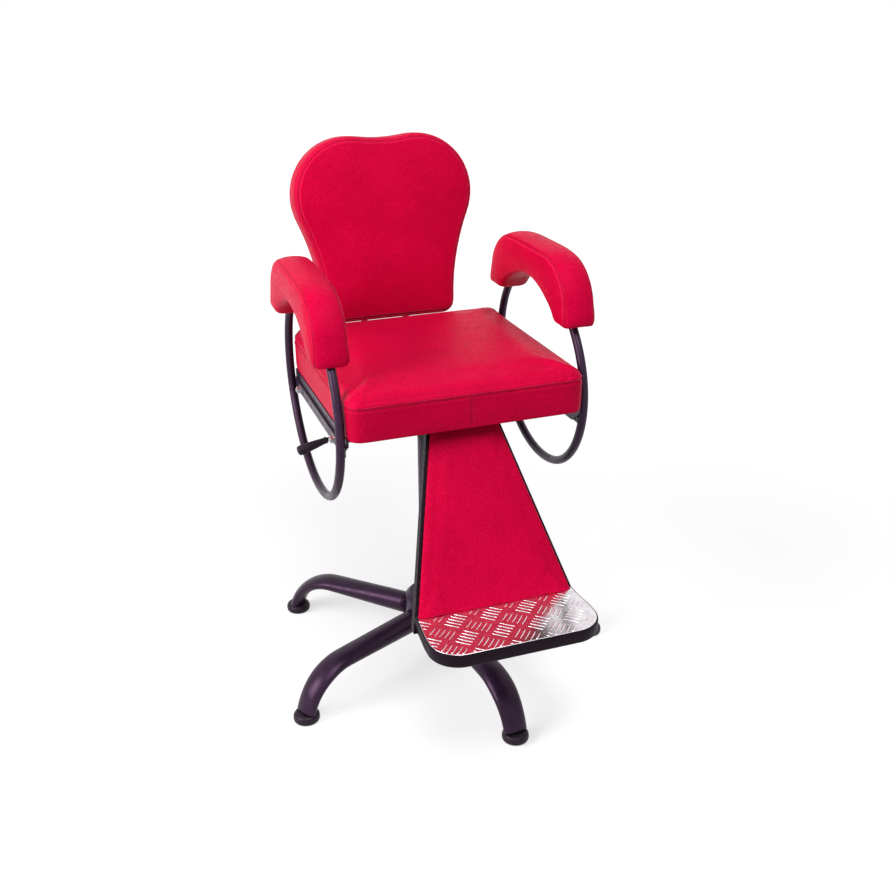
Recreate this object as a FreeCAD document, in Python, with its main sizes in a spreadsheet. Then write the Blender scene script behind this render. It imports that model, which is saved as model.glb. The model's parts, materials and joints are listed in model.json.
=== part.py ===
"""Child-size salon chair: gas-lift column on a five-leg base, ring arms, calf panel and footplate.

The origin is on the floor under the column. +Z is up and the sitter looks along -Y.
"""
import FreeCAD
import Part
import Sketcher
import math
import os
import re
from FreeCAD import Matrix, Placement, Rotation, Vector

SIZES = {
    # five-leg base
    "leg_count": 5,
    "first_leg_angle": -82.4,
    "foot_circle_radius": 336.5,
    "hub_radius": 55,
    "hub_bottom": 62,
    "hub_height": 76,
    "hub_rim": 8,
    "hub_wall": 4,
    "leg_lift": 30,
    "leg_root_width": 44,
    "leg_root_depth": 44,
    "leg_bend_width": 52,
    "leg_bend_depth": 26,
    "leg_foot_width": 47,
    "leg_foot_depth": 24,
    "leg_bend_radius": 100,
    "leg_bend_angle": 70,
    "leg_wall": 2.5,
    "foot_radius": 25,
    "foot_height": 18,
    "foot_groove": 2,
    "foot_plug": 7,
    # gas lift
    "column_radius": 25,
    "column_wall": 2,
    "column_gap": 14,
    "end_plate_lift": 5,
    "end_plate": 4,
    "bush_length": 70,
    "bush_flange": 3,
    "running_gap": 0.05,
    "cylinder_radius": 14,
    "cylinder_wall": 2,
    "cylinder_drop": 17.5,
    "cylinder_end": 12,
    "cylinder_cap": 16,
    "rod_radius": 5,
    "rod_collar_radius": 9,
    "rod_collar": 4,
    "rod_clip": 2.5,
    "lift_stroke": 120,
    "piston_length": 16,
    "race_radius": 14,
    "race_height": 1.6,
    "ball_radius": 1.5,
    "ball_count": 12,
    "pin_radius": 2.5,
    "pin_tip_radius": 2,
    "pin_length": 20,
    "pin_rise": 5.7,
    "rest_gap": 0.3,
    # seat mechanism
    "plate_edge": 15,
    "plate_margin": 2.5,
    "plate_thick": 3,
    "socket_radius": 21,
    "socket_length": 38,
    "socket_drop": 8,
    "cheek_thick": 3,
    "cheek_drop": 28,
    "cheek_front_reach": 26,
    "cheek_margin": 24,
    "pivot_reach": 36,
    "pivot_pin_radius": 3,
    "lever_boss_radius": 7,
    "lever_rod_radius": 4,
    "lever_droop": 15.2,
    "lever_rod_end": 212,
    "grip_hold": 40,
    "grip_cap": 18,
    "grip_radius": 9,
    "grip_neck_radius": 6,
    "side_gap": 1,
    # seat
    "seat_width": 430,
    "seat_front": 223.7,
    "seat_back": 205,
    "seat_bottom": 583.5,
    "seat_thick": 88,
    "seat_corner": 25,
    "board_thick": 12,
    "board_inset": 4,
    "rail_height": 34,
    "rail_foot": 25,
    "rail_wall": 3,
    "rail_front_inset": 20,
    "rail_nose_length": 30,
    "rail_nose_height": 12,
    "rail_back_inset": 19,
    "cross_size": 25,
    "cross_wall": 2,
    "cross_reach": 105,
    # arms
    "ring_gap": 1.2,
    "ring_centre_back": -1.6,
    "ring_lift": 15.1,
    "ring_end_radius": 165,
    "ring_extra_length": 31.5,
    "ring_extra_height": 11.4,
    "ring_tilt": 24.1,
    "ring_tube_radius": 8,
    "ring_wall": 1.5,
    "crossbar_height": 18,
    "crossbar_thick": 4,
    "arm_bolt_reach": 130,
    "pad_width": 64,
    "pad_rise": 60,
    "pad_drop": 58,
    "pad_front_inset": 28.5,
    "pad_back_inset": 14.5,
    "pad_front_shoulder": 95,
    "pad_back_shoulder": 90,
    "pad_slip": 15,
    "pad_arch_rise": 2,
    "pad_arch_radius": 164,
    "pad_arch_centre": 5,
    "block_length": 190,
    "block_width": 36,
    "block_rise": 4,
    "block_thick": 20,
    "block_centre": 10,
    "groove_gap": 0.3,
    # back
    "back_tilt": 7,
    "back_gap": 12,
    "back_lift": 42,
    "back_thick": 62,
    "back_lobe_radius": 111,
    "back_lobe_out": 69,
    "back_lobe_up": 244,
    "back_waist_radius": 465,
    "back_waist_angle": 23.3,
    "back_dip_radius": 315,
    "back_corner_radius": 23,
    "support_spread": 45,
    "support_radius": 7,
    "support_wall": 1.5,
    "support_bend": 42,
    "support_reach": 200,
    # footrest
    "panel_slope": 30,
    "strut_tail": 30.2,
    "footplate_top": 304.1,
    "panel_half_width": 146.1,
    "panel_top_half_width": 66.2,
    "panel_gap": 2.5,
    "panel_board": 18,
    "calf_pad": 10,
    "calf_pad_inset": 4,
    "calf_pad_corner": 6,
    "tread_thick": 2,
    "footplate_thick": 22,
    "footplate_reach": 123.2,
    "footplate_flare": 3.9,
    "footplate_corner": 52,
    "tread_inset": 1,
    "strut_spread": 40,
    "strut_size": 16,
    "strut_foot_inset": 33.6,
    "strut_foot_thick": 4,
    # fasteners
    "bolt_radius": 4,
    "bolt_head_radius": 7.5,
    "bolt_head": 5.5,
    "bolt_hole_gap": 0.25,
    "washer_thick": 1.6,
    "washer_radius": 8,
    "screw_radius": 2.5,
    "screw_head_radius": 5,
    "screw_head": 3,
    "mount_bolt_spread": 60,
    "overrun": 5,
}

# sizes that follow from the ones above
RELATIONS = {
    "hub_top": "hub_bottom + hub_height",
    "leg_axis_height": "hub_bottom + leg_lift",
    "foot_plug_radius": "leg_foot_depth / 2 - leg_wall - foot_plug / tan(leg_bend_angle)",
    "plate_top": "seat_bottom - cross_size",
    "plate_bottom": "plate_top - plate_thick",
    "plate_width": "2 * (mount_bolt_spread + plate_edge)",
    "plate_depth": "2 * (cross_reach + plate_margin) + cross_size",
    "cylinder_top": "plate_bottom - cylinder_drop",
    "socket_top": "cylinder_top - socket_drop",
    "socket_bottom": "socket_top - socket_length",
    "column_top": "socket_bottom - column_gap",
    "pivot_height": "cylinder_top + pin_rise + rest_gap + lever_rod_radius",
    "cheek_bottom": "pivot_height - cheek_drop",
    "cheek_lever_reach": "pivot_reach + cheek_margin",
    "grip_start": "lever_rod_end - grip_hold",
    "grip_end": "lever_rod_end + grip_cap",
    "rail_front": "seat_front - rail_front_inset",
    "rail_back": "seat_back - rail_back_inset",
    "ring_spread": "seat_width / 2 + ring_gap + ring_tube_radius",
    "ring_centre_height": "seat_bottom + ring_lift",
    "ring_half_length": "ring_end_radius + ring_extra_length",
    "ring_half_height": "ring_end_radius + ring_extra_height",
    "ring_top": "ring_centre_height + ring_half_height",
    "pad_top": "ring_top + pad_rise",
    "pad_bottom": "ring_top - pad_drop",
    "pad_arch_top": "ring_top + pad_arch_rise",
    "pad_front": "ring_half_length - pad_front_inset",
    "pad_back": "ring_half_length - pad_back_inset",
    "block_bottom": "ring_top + block_rise",
    "back_base_depth": "seat_back + back_gap",
    "support_height": "plate_top + cross_size / 2",
    "back_base_height": "support_height + support_bend + back_lift",
    "support_top": "back_base_height + support_reach",
    "panel_top": "seat_bottom - panel_gap",
    "panel_depth": "calf_pad + panel_board + strut_size",
    "cross_front": "cross_reach + cross_size / 2",
    "panel_base_depth": "cross_front + strut_tail + (plate_top - footplate_top) * tan(panel_slope)"
                        " + panel_depth / cos(panel_slope)",
    "footplate_front": "panel_base_depth + footplate_reach",
    "footplate_half_width": "panel_half_width + footplate_flare",
    "strut_foot_front": "footplate_front - strut_foot_inset",
}

doc = FreeCAD.newDocument("SalonChair")
sheet = doc.addObject("Spreadsheet::Sheet", "Sizes")
for row, (name, amount) in enumerate(SIZES.items(), start=1):
    sheet.set(f"A{row}", name)
    sheet.set(f"B{row}", str(amount))
    sheet.setAlias(f"B{row}", name)
for row, (name, formula) in enumerate(RELATIONS.items(), start=len(SIZES) + 1):
    sheet.set(f"A{row}", name)
    sheet.setAlias(f"B{row}", name)
    sheet.set(f"B{row}", "=" + formula)
doc.recompute()

nodes = []


def size(name):
    """The number that the sheet holds under a name."""
    return float(sheet.get(name))


def bound(text):
    """Write a formula of sheet names as FreeCAD reads it."""
    def prefixed(word):
        known = word.group() in SIZES or word.group() in RELATIONS
        return "Sizes." + word.group() if known else word.group()

    return re.sub(r"[a-z_]+", prefixed, text)


def number(text):
    return float(sheet.evalExpression(bound(str(text))))


def keep(item):
    """Count an object as a finished sub-part; its Label is the node's name."""
    nodes.append(item)
    return item


def place(item, x="0", y="0", z="0", axis=None, angle="0"):
    """Put an object at a place given by formulas, turned about one axis if asked."""
    turn = Rotation(axis, number(angle)) if axis else Rotation()
    item.Placement = Placement(Vector(number(x), number(y), number(z)), turn)
    for key, text in (("x", x), ("y", y), ("z", z)):
        item.setExpression("Placement.Base." + key, bound(text))
    if axis:
        item.setExpression("Placement.Rotation.Angle", bound(angle))
    return item


def part_object(kind, label, **dims):
    item = doc.addObject("Part::" + kind, label)
    item.Label = label
    for key, text in dims.items():
        item.setExpression(key, bound(text))
    return item


def box(label, low, high):
    """A box between two corners given by formulas."""
    spans = [f"({b}) - ({a})" for a, b in zip(low, high)]
    return place(part_object("Box", label, Length=spans[0], Width=spans[1], Height=spans[2]), *low)


X_AXIS = Vector(1, 0, 0)
Y_AXIS = Vector(0, 1, 0)
Z_AXIS = Vector(0, 0, 1)


def rod(label, radius, length, x="0", y="0", z="0", axis=None, angle="0"):
    return place(part_object("Cylinder", label, Radius=radius, Height=length), x, y, z, axis, angle)


def fuse(label, items):
    joined = doc.addObject("Part::MultiFuse", label)
    joined.Label = label
    joined.Shapes = items
    return joined


def cut(label, base, tool):
    rest = doc.addObject("Part::Cut", label)
    rest.Label = label
    rest.Base = base
    rest.Tool = tool
    return rest


def common(label, base, tool):
    shared = doc.addObject("Part::Common", label)
    shared.Label = label
    shared.Base = base
    shared.Tool = tool
    return shared


def group(label, items):
    """Identical loose pieces in one node."""
    several = doc.addObject("Part::Compound", label)
    several.Label = label
    several.Links = items
    return several


def sketch_on(body, role, corners):
    """A closed outline of straight lines whose corners are bound to formulas."""
    sketch = body.newObject("Sketcher::SketchObject", body.Name + "_outline")
    plane = next(item for item in body.Origin.OriginFeatures if item.Role == role)
    sketch.AttachmentSupport = [(plane, "")]
    sketch.MapMode = "FlatFace"
    points = [Vector(number(x), number(y), 0) for x, y in corners]
    for index, point in enumerate(points):
        sketch.addGeometry(Part.LineSegment(point, points[(index + 1) % len(points)]))
    for index in range(len(points)):
        sketch.addConstraint(Sketcher.Constraint("Coincident", index, 2, (index + 1) % len(points), 1))
    for index, (corner, point) in enumerate(zip(corners, points)):
        for kind, text, amount in (("DistanceX", corner[0], point.x), ("DistanceY", corner[1], point.y)):
            entry = sketch.addConstraint(Sketcher.Constraint(kind, -1, 1, index, 1, amount))
            sketch.setExpression(f"Constraints[{entry}]", bound(text))
    return sketch


def new_body(label):
    body = doc.addObject("PartDesign::Body", label)
    body.Label = label
    return body


def turned(label, corners):
    """A body turned about its own Z from a half outline of (radius, height) corners."""
    body = new_body(label)
    turn = body.newObject("PartDesign::Revolution", label + "_turn")
    turn.Profile = sketch_on(body, "XZ_Plane", corners)
    turn.ReferenceAxis = (turn.Profile[0], ["V_Axis"])
    turn.Angle = 360
    return body


def extruded(label, role, corners, length):
    """A body padded evenly to both sides of an origin plane."""
    body = new_body(label)
    pad = body.newObject("PartDesign::Pad", label + "_pad")
    pad.Profile = sketch_on(body, role, corners)
    pad.setExpression("Length", bound(length))
    pad.Midplane = True
    return body


def feature(label, shape, placement=None):
    """A piece whose shape comes from Part's own functions and the sheet's sizes."""
    item = doc.addObject("Part::Feature", label)
    item.Label = label
    item.Shape = shape
    if placement:
        item.Placement = placement
    return item


# Shapes from Part's own functions

TOUCH_SHARE = 1e-6


def on_circle(centre_u, centre_v, radius, angle):
    turn = math.radians(angle)
    return centre_u + radius * math.cos(turn), centre_v + radius * math.sin(turn)


def outline(pieces, lift):
    """A closed wire through points (u, v) and arcs (centre u, centre v, radius, start, end)."""
    runs = []
    for piece in pieces:
        if len(piece) == 2:
            runs.append((piece, None, piece))
        else:
            centre_u, centre_v, radius, start, end = piece
            stops = (start, (start + end) / 2, end)
            runs.append(tuple(on_circle(centre_u, centre_v, radius, stop) for stop in stops))
    edges = []
    for this, following in zip(runs, runs[1:] + runs[:1]):
        if this[1]:
            edges.append(Part.Arc(*(lift(*spot) for spot in this)).toShape())
        if math.dist(this[2], following[0]) > size("seat_width") * TOUCH_SHARE:
            edges.append(Part.LineSegment(lift(*this[2]), lift(*following[0])).toShape())
    return Part.Wire(edges)


def prism(wire, along):
    return Part.Face(wire).extrude(along)


def mirrored(pieces):
    """The same outline pieces on the other side of u = 0, in running order."""
    twins = []
    for piece in reversed(pieces):
        if len(piece) == 2:
            twins.append((-piece[0], piece[1]))
        else:
            centre_u, centre_v, radius, start, end = piece
            twins.append((-centre_u, centre_v, radius, 180 - end, 180 - start))
    return twins


def rounded_rectangle(low_u, high_u, low_v, high_v, radius):
    corners = [(high_u, low_v, -90), (high_u, high_v, 0), (low_u, high_v, 90), (low_u, low_v, 180)]
    pieces = []
    for u, v, start in corners:
        centre_u = u - radius if u == high_u else u + radius
        centre_v = v - radius if v == high_v else v + radius
        pieces.append((centre_u, centre_v, radius, start, start + 90))
    return pieces


def soft_radius(radius, inset):
    """A corner's radius in a drawn-in section, never under a quarter of its own."""
    return max(radius - inset, radius / 4)


def polygon_prism(radius, height, sides):
    corners = [Vector(*on_circle(0, 0, radius, 360 / sides * index), 0) for index in range(sides)]
    return prism(Part.makePolygon(corners + corners[:1]), Vector(0, 0, height))


def fastener(shank, length, head_radius, head, grow=0, sides=6):
    """A bolt or screw up +Z, its head below the origin; grow makes the hole that clears it."""
    body = Part.makeCylinder(shank + grow, length + grow)
    if sides:
        cap = polygon_prism(head_radius + grow, head, sides).translated(Vector(0, 0, -head))
    else:
        cap = Part.makeCylinder(head_radius + grow, head, Vector(0, 0, -head))
    return body.fuse(cap)


def copies(shape, placements):
    several = []
    for placement in placements:
        item = shape.copy()
        item.Placement = placement.multiply(item.Placement)
        several.append(item)
    return Part.Compound(several)


def fastener_set(label, placements, **dims):
    """Keep the fasteners as one node and return the holes that clear them."""
    keep(feature(label, copies(fastener(**dims), placements)))
    return feature(label + "_holes", copies(fastener(grow=size("bolt_hole_gap"), **dims), placements))


def drilled(label, blank, holes):
    """Keep a blank with the holes of one or more fastener sets cut from it."""
    tool = holes[0] if len(holes) == 1 else fuse(label + "_tools", holes)
    return keep(cut(label, blank, tool))


SIDES = (("left", 1), ("right", -1))


# Base: hub drum, five pressed legs, five glides

keep(turned("base_hub", [
    ("column_radius", "hub_bottom"),
    ("column_radius + hub_wall", "hub_bottom"),
    ("column_radius + hub_wall", "hub_top - hub_wall"),
    ("hub_radius - hub_rim - hub_wall / 4", "hub_top - hub_wall"),
    ("hub_radius - hub_wall", "hub_top - hub_rim - hub_wall / 2"),
    ("hub_radius - hub_wall", "hub_bottom"),
    ("hub_radius", "hub_bottom"),
    ("hub_radius", "hub_top - hub_rim"),
    ("hub_radius - hub_rim", "hub_top"),
    ("column_radius", "hub_top"),
]))

# each row: how far along the leg, then the shares of the way from root to bend and from bend to foot
LEG_SECTION_SHARES = (
    (0, 0, 0), (0.3, 0.15, 0), (0.6, 0.4, 0), (1, 0.8, 0), (1.2, 0.95, 0),
    (1.4, 1, 0.05), (1.6, 1, 0.2), (1.8, 0.95, 0.5), (2, 1, 1))


def leg_shell(shrink, extra):
    """One leg along +X: ellipse sections on a straight run and a bend down to the foot."""
    bend = size("leg_bend_radius")
    bend_angle = size("leg_bend_angle")
    height = size("leg_axis_height")
    turn = math.radians(bend_angle)
    drop = height - bend * (1 - math.cos(turn)) - size("foot_height")
    bend_start = size("foot_circle_radius") - bend * math.sin(turn) - drop / math.tan(turn)
    root = size("hub_radius") - size("hub_rim") - extra
    wires = []
    for run, to_bend, to_foot in LEG_SECTION_SHARES:
        width = size("leg_root_width") + to_bend * (size("leg_bend_width") - size("leg_root_width"))
        depth = size("leg_root_depth") + to_bend * (size("leg_bend_depth") - size("leg_root_depth"))
        width += to_foot * (size("leg_foot_width") - width)
        depth += to_foot * (size("leg_foot_depth") - depth)
        angle = max(run - 1, 0) * bend_angle
        lean = math.radians(angle)
        along = root + min(run, 1) * (bend_start - root) + bend * math.sin(lean)
        wires.append((Vector(along, 0, height - bend * (1 - math.cos(lean))), angle, width, depth))
    centre, angle, width, depth = wires[-1]
    tail = drop / math.sin(turn) + width / 4 + extra
    wires.append((centre + Vector(math.cos(turn), 0, -math.sin(turn)) * tail, angle, width, depth))
    loops = []
    for centre, angle, width, depth in wires:
        lean = math.radians(angle)
        along = Vector(math.cos(lean), 0, -math.sin(lean))
        upright = Vector(math.sin(lean), 0, math.cos(lean))
        section = Matrix(Y_AXIS * (width / 2 - shrink), upright * (depth / 2 - shrink), along, centre)
        loops.append(Part.Wire(Part.Circle(Vector(), Z_AXIS, 1).toShape()).transformGeometry(section))
    return Part.makeLoft(loops, True, True)


def leg_shape():
    hub = Part.makeCylinder(size("hub_radius"), size("hub_top"))
    reach = size("foot_circle_radius") + size("leg_bend_width")
    floor = Part.makeBox(reach, 2 * reach, size("foot_height"), Vector(0, -reach, 0))
    tube = leg_shell(0, 0).cut(leg_shell(size("leg_wall"), size("overrun")))
    return tube.cut(hub).cut(floor)


leg = leg_shape()
for index in range(int(size("leg_count"))):
    angle = size("first_leg_angle") + 360 / size("leg_count") * index
    keep(feature(f"base_leg_{index + 1}", leg.copy(), Placement(Vector(), Rotation(Z_AXIS, angle))))
for index in range(int(size("leg_count"))):
    angle = f"(first_leg_angle + 360 / leg_count * {index})"
    foot = turned(f"foot_glide_{index + 1}", [
        ("0", "0"),
        ("foot_radius - foot_groove", "0"),
        ("foot_radius", "foot_groove"),
        ("foot_radius", "foot_height / 2 - foot_groove / 2"),
        ("foot_radius - foot_groove / 2", "foot_height / 2"),
        ("foot_radius", "foot_height / 2 + foot_groove / 2"),
        ("foot_radius", "foot_height - foot_groove"),
        ("foot_radius - foot_groove", "foot_height"),
        ("foot_plug_radius", "foot_height"),
        ("foot_plug_radius", "foot_height + foot_plug"),
        ("0", "foot_height + foot_plug"),
    ])
    keep(place(foot, f"foot_circle_radius * cos({angle})", f"foot_circle_radius * sin({angle})"))


# Gas lift: fixed column, rod that swivels in it, cylinder that slides on the rod

COLUMN_BORE = "(column_radius - column_wall)"
END_PLATE_BOTTOM = "(hub_bottom + end_plate_lift)"
RACE_BOTTOM = f"({END_PLATE_BOTTOM} + end_plate)"
BALL_CENTRE = f"({RACE_BOTTOM} + race_height + ball_radius + running_gap / 2)"
UPPER_RACE_BOTTOM = f"({RACE_BOTTOM} + race_height + 2 * ball_radius + running_gap)"
COLLAR_BOTTOM = f"({UPPER_RACE_BOTTOM} + race_height)"
CYLINDER_BOTTOM = f"({COLLAR_BOTTOM} + rod_collar + rest_gap)"
PISTON_BOTTOM = f"({CYLINDER_BOTTOM} + cylinder_end + lift_stroke + rest_gap)"
PISTON_TOP = f"({PISTON_BOTTOM} + piston_length)"
CYLINDER_BORE = "(cylinder_radius - cylinder_wall)"


def ring(label, inner, outer, bottom, top):
    return keep(turned(label, [(inner, bottom), (outer, bottom), (outer, top), (inner, top)]))


ring("column_tube", COLUMN_BORE, "column_radius", "hub_bottom", "column_top")
ring("column_end_plate", "rod_radius + running_gap", COLUMN_BORE, END_PLATE_BOTTOM, RACE_BOTTOM)
ring("lower_race", "rod_radius + running_gap", "race_radius", RACE_BOTTOM, f"{RACE_BOTTOM} + race_height")
balls = []
for index in range(int(size("ball_count"))):
    ball = part_object("Sphere", f"ball_{index + 1}", Radius="ball_radius")
    angle = f"(360 / ball_count * {index})"
    reach = "((rod_radius + race_radius) / 2)"
    balls.append(place(ball, f"{reach} * cos({angle})", f"{reach} * sin({angle})", BALL_CENTRE))
keep(group("bearing_balls", balls))
keep(turned("guide_bush", [
    ("cylinder_radius + running_gap", "column_top - bush_length"),
    (COLUMN_BORE, "column_top - bush_length"),
    (COLUMN_BORE, "column_top"),
    ("column_radius", "column_top"),
    ("column_radius", "column_top + bush_flange"),
    ("cylinder_radius + running_gap", "column_top + bush_flange"),
]))

ring("upper_race", "rod_radius", "race_radius", UPPER_RACE_BOTTOM, COLLAR_BOTTOM)
keep(turned("piston_rod", [
    ("0", "hub_bottom + side_gap"),
    ("rod_radius", "hub_bottom + side_gap"),
    ("rod_radius", COLLAR_BOTTOM),
    ("rod_collar_radius", COLLAR_BOTTOM),
    ("rod_collar_radius", f"{COLLAR_BOTTOM} + rod_collar"),
    ("rod_radius", f"{COLLAR_BOTTOM} + rod_collar"),
    ("rod_radius", f"{PISTON_TOP} + rod_collar"),
    ("0", f"{PISTON_TOP} + rod_collar"),
]))
ring("piston", "rod_radius", f"{CYLINDER_BORE} - running_gap", PISTON_BOTTOM, PISTON_TOP)
ring("rod_clip", "rod_radius", "rod_collar_radius", f"{END_PLATE_BOTTOM} - side_gap / 2 - rod_clip",
     f"{END_PLATE_BOTTOM} - side_gap / 2")

keep(turned("gas_cylinder", [
    (CYLINDER_BORE, CYLINDER_BOTTOM),
    ("cylinder_radius", CYLINDER_BOTTOM),
    ("cylinder_radius", "cylinder_top"),
    ("pin_radius + running_gap", "cylinder_top"),
    ("pin_radius + running_gap", "cylinder_top - cylinder_cap"),
    (CYLINDER_BORE, "cylinder_top - cylinder_cap"),
]))
ring("cylinder_end_guide", "rod_radius + running_gap", CYLINDER_BORE, CYLINDER_BOTTOM,
     f"{CYLINDER_BOTTOM} + cylinder_end")
PIN_TOP = "(cylinder_top + pin_rise)"
keep(turned("valve_pin", [
    ("0", f"{PIN_TOP} - pin_length"),
    ("pin_radius", f"{PIN_TOP} - pin_length"),
    ("pin_radius", f"{PIN_TOP} - pin_radius / 2"),
    ("pin_tip_radius", PIN_TOP),
    ("0", PIN_TOP),
]))


# Fasteners of the seat frame, and the holes that clear them

CROSSBAR_LOW = "(seat_bottom - rail_height)"
CROSSBAR_OUTER = "(seat_width / 2 + crossbar_thick)"


def spot(x, y, z, axis=None, angle=0):
    turn = Rotation(axis, angle) if axis else Rotation()
    return Placement(Vector(number(x), number(y), number(z)), turn)


mount_spots = []
for across in ("-mount_bolt_spread", "mount_bolt_spread"):
    for along in ("-cross_reach", "cross_reach"):
        mount_spots.append(spot(across, along, "plate_bottom"))
mount_holes = fastener_set(
    "mount_bolts", mount_spots, shank=size("bolt_radius"),
    length=number("plate_thick + cross_size + board_thick * 3 / 4"),
    head_radius=size("bolt_head_radius"), head=size("bolt_head"))

FRAME_SCREW_SHARES = (0.1, 0.5, 0.9)
rail_length = number("rail_front + rail_back")
frame_spots = []
for side, sign in SIDES:
    for share in FRAME_SCREW_SHARES:
        along = -size("rail_front") + share * rail_length
        across = sign * number("seat_width / 2 - rail_foot / 2 - rail_wall / 2")
        frame_spots.append(Placement(Vector(across, along, number("seat_bottom - rail_wall")), Rotation()))
frame_holes = fastener_set(
    "frame_screws", frame_spots, shank=size("screw_radius"),
    length=number("rail_wall + board_thick * 3 / 4"),
    head_radius=size("screw_head_radius"), head=size("screw_head"), sides=0)

arm_bolt_spots = []
nut_spots = []
washer_spots = []
bolt_height = f"{CROSSBAR_LOW} + crossbar_height / 2"
for side, sign in SIDES:
    for along in ("-arm_bolt_reach", "arm_bolt_reach"):
        turn = 90 * sign
        bolt_side = f"{sign} * (seat_width / 2 - rail_wall)"
        arm_bolt_spots.append(spot(bolt_side, along, bolt_height, Y_AXIS, turn))
        washer_spots.append(spot(f"{sign} * {CROSSBAR_OUTER}", along, bolt_height, Y_AXIS, turn))
        nut_side = f"{sign} * ({CROSSBAR_OUTER} + washer_thick)"
        nut_spots.append(spot(nut_side, along, bolt_height, Y_AXIS, turn))
arm_bolt_holes = fastener_set(
    "arm_bolts", arm_bolt_spots, shank=size("bolt_radius"),
    length=number("rail_wall + crossbar_thick + washer_thick + bolt_head + side_gap * 2"),
    head_radius=size("bolt_head_radius"), head=size("bolt_head"))


def holed_disc(outer, thick, sides=0):
    """A washer, or a hex nut when sides are given, that stands on the origin along +Z."""
    bore = size("bolt_radius") + size("bolt_hole_gap")
    if sides:
        blank = polygon_prism(outer, thick, sides)
    else:
        blank = Part.makeCylinder(outer, thick)
    return blank.cut(Part.makeCylinder(bore, thick))


keep(feature("arm_washers", copies(holed_disc(size("washer_radius"), size("washer_thick")), washer_spots)))
keep(feature("arm_nuts", copies(holed_disc(size("bolt_head_radius"), size("bolt_head"), 6), nut_spots)))


# Seat mechanism: mount plate with socket and cheeks, pivot pin, lever

mount_parts = [box("mount_sheet", ("-plate_width / 2", "-plate_depth / 2", "plate_bottom"),
                   ("plate_width / 2", "plate_depth / 2", "plate_top"))]
for side, sign in SIDES:
    inner = "socket_radius - cheek_thick"
    low, high = (f"{inner}", "socket_radius") if sign > 0 else ("-socket_radius", f"-({inner})")
    mount_parts.append(box(f"cheek_{side}", ("-cheek_lever_reach", low, "cheek_bottom"),
                           ("cheek_front_reach", high, "plate_bottom")))
mount_parts.append(rod("socket", "socket_radius", "socket_top - socket_bottom", z="socket_bottom"))
mount_blank = fuse("mount_blank", mount_parts)
socket_bore = rod("socket_bore", "cylinder_radius", "cylinder_top - socket_bottom", z="socket_bottom")
PIN_SPAN = "(2 * (socket_radius + side_gap))"
pivot_place = ("-pivot_reach", f"{PIN_SPAN} / 2", "pivot_height", X_AXIS, "90")
pin_bore = rod("pivot_bore", "pivot_pin_radius", PIN_SPAN, *pivot_place)
drilled("seat_mount_plate", mount_blank, [socket_bore, pin_bore, mount_holes])
keep(rod("lever_pivot_pin", "pivot_pin_radius", PIN_SPAN, *pivot_place))

BOSS_LENGTH = "(2 * (socket_radius - cheek_thick - side_gap))"
boss_place = ("-pivot_reach", f"{BOSS_LENGTH} / 2", "pivot_height", X_AXIS, "90")
lever_blank = fuse("lever_blank", [
    rod("lever_boss", "lever_boss_radius", BOSS_LENGTH, *boss_place),
    rod("lever_blade", "lever_rod_radius", "pivot_reach + pin_radius * 2", "-pivot_reach", "0",
        "pivot_height", Y_AXIS, "90"),
    rod("lever_arm", "lever_rod_radius", "lever_rod_end", "-pivot_reach", "0", "pivot_height",
        Y_AXIS, "-90 - lever_droop"),
])
boss_bore = rod("boss_bore", "pivot_pin_radius + running_gap", BOSS_LENGTH, *boss_place)
keep(cut("lever_rod", lever_blank, boss_bore))
grip = turned("lever_grip", [
    ("lever_rod_radius", "grip_start"),
    ("grip_neck_radius", "grip_start"),
    ("grip_radius", "grip_start + grip_radius"),
    ("grip_radius", "grip_end - grip_radius / 2"),
    ("grip_radius - grip_radius / 4", "grip_end - grip_radius / 8"),
    ("grip_radius / 2", "grip_end"),
    ("0", "grip_end"),
    ("0", "lever_rod_end"),
    ("lever_rod_radius", "lever_rod_end"),
])
keep(place(grip, "-pivot_reach", "0", "pivot_height", Y_AXIS, "-90 - lever_droop"))


# Seat: rails, cross members, board, cushion

NOSE_TOP = "(seat_bottom - rail_nose_height)"
rail_nose = extruded("rail_nose", "YZ_Plane", [
    ("-rail_front - overrun", NOSE_TOP),
    ("-rail_front", NOSE_TOP),
    ("rail_nose_length - rail_front", CROSSBAR_LOW),
    ("rail_nose_length - rail_front", f"{CROSSBAR_LOW} - overrun"),
    ("-rail_front - overrun", f"{CROSSBAR_LOW} - overrun"),
], "seat_width + overrun")
for side, sign in SIDES:
    outer = f"{sign} * seat_width / 2"
    inner = f"{sign} * (seat_width / 2 - rail_wall)"
    foot = f"{sign} * (seat_width / 2 - rail_foot)"
    blank = extruded(f"rail_blank_{side}", "XZ_Plane", [
        (outer, CROSSBAR_LOW),
        (outer, "seat_bottom"),
        (foot, "seat_bottom"),
        (foot, "seat_bottom - rail_wall"),
        (inner, "seat_bottom - rail_wall"),
        (inner, CROSSBAR_LOW),
    ], "rail_front + rail_back")
    place(blank, y="(rail_back - rail_front) / 2")
    drilled(f"side_rail_{side}", blank, [rail_nose, frame_holes, arm_bolt_holes])

for name, sign in (("front", -1), ("rear", 1)):
    low = f"{sign} * cross_reach - cross_size / 2"
    high = f"{sign} * cross_reach + cross_size / 2"
    reach = "(seat_width / 2 - rail_foot)"
    outside = box(f"cross_outside_{name}", (f"-{reach}", low, "plate_top"), (reach, high, "seat_bottom"))
    inside = box(f"cross_inside_{name}", (f"-{reach}", f"{low} + cross_wall", "plate_top + cross_wall"),
                 (reach, f"{high} - cross_wall", "seat_bottom - cross_wall"))
    drilled(f"cross_member_{name}", cut(f"cross_tube_{name}", outside, inside), [mount_holes])


def seat_outline(inset, height):
    half = size("seat_width") / 2 - inset
    pieces = rounded_rectangle(-half, half, inset - size("seat_front"), size("seat_back") - inset,
                               soft_radius(size("seat_corner"), inset))
    return outline(pieces, lambda u, v: Vector(u, v, height))


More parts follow.
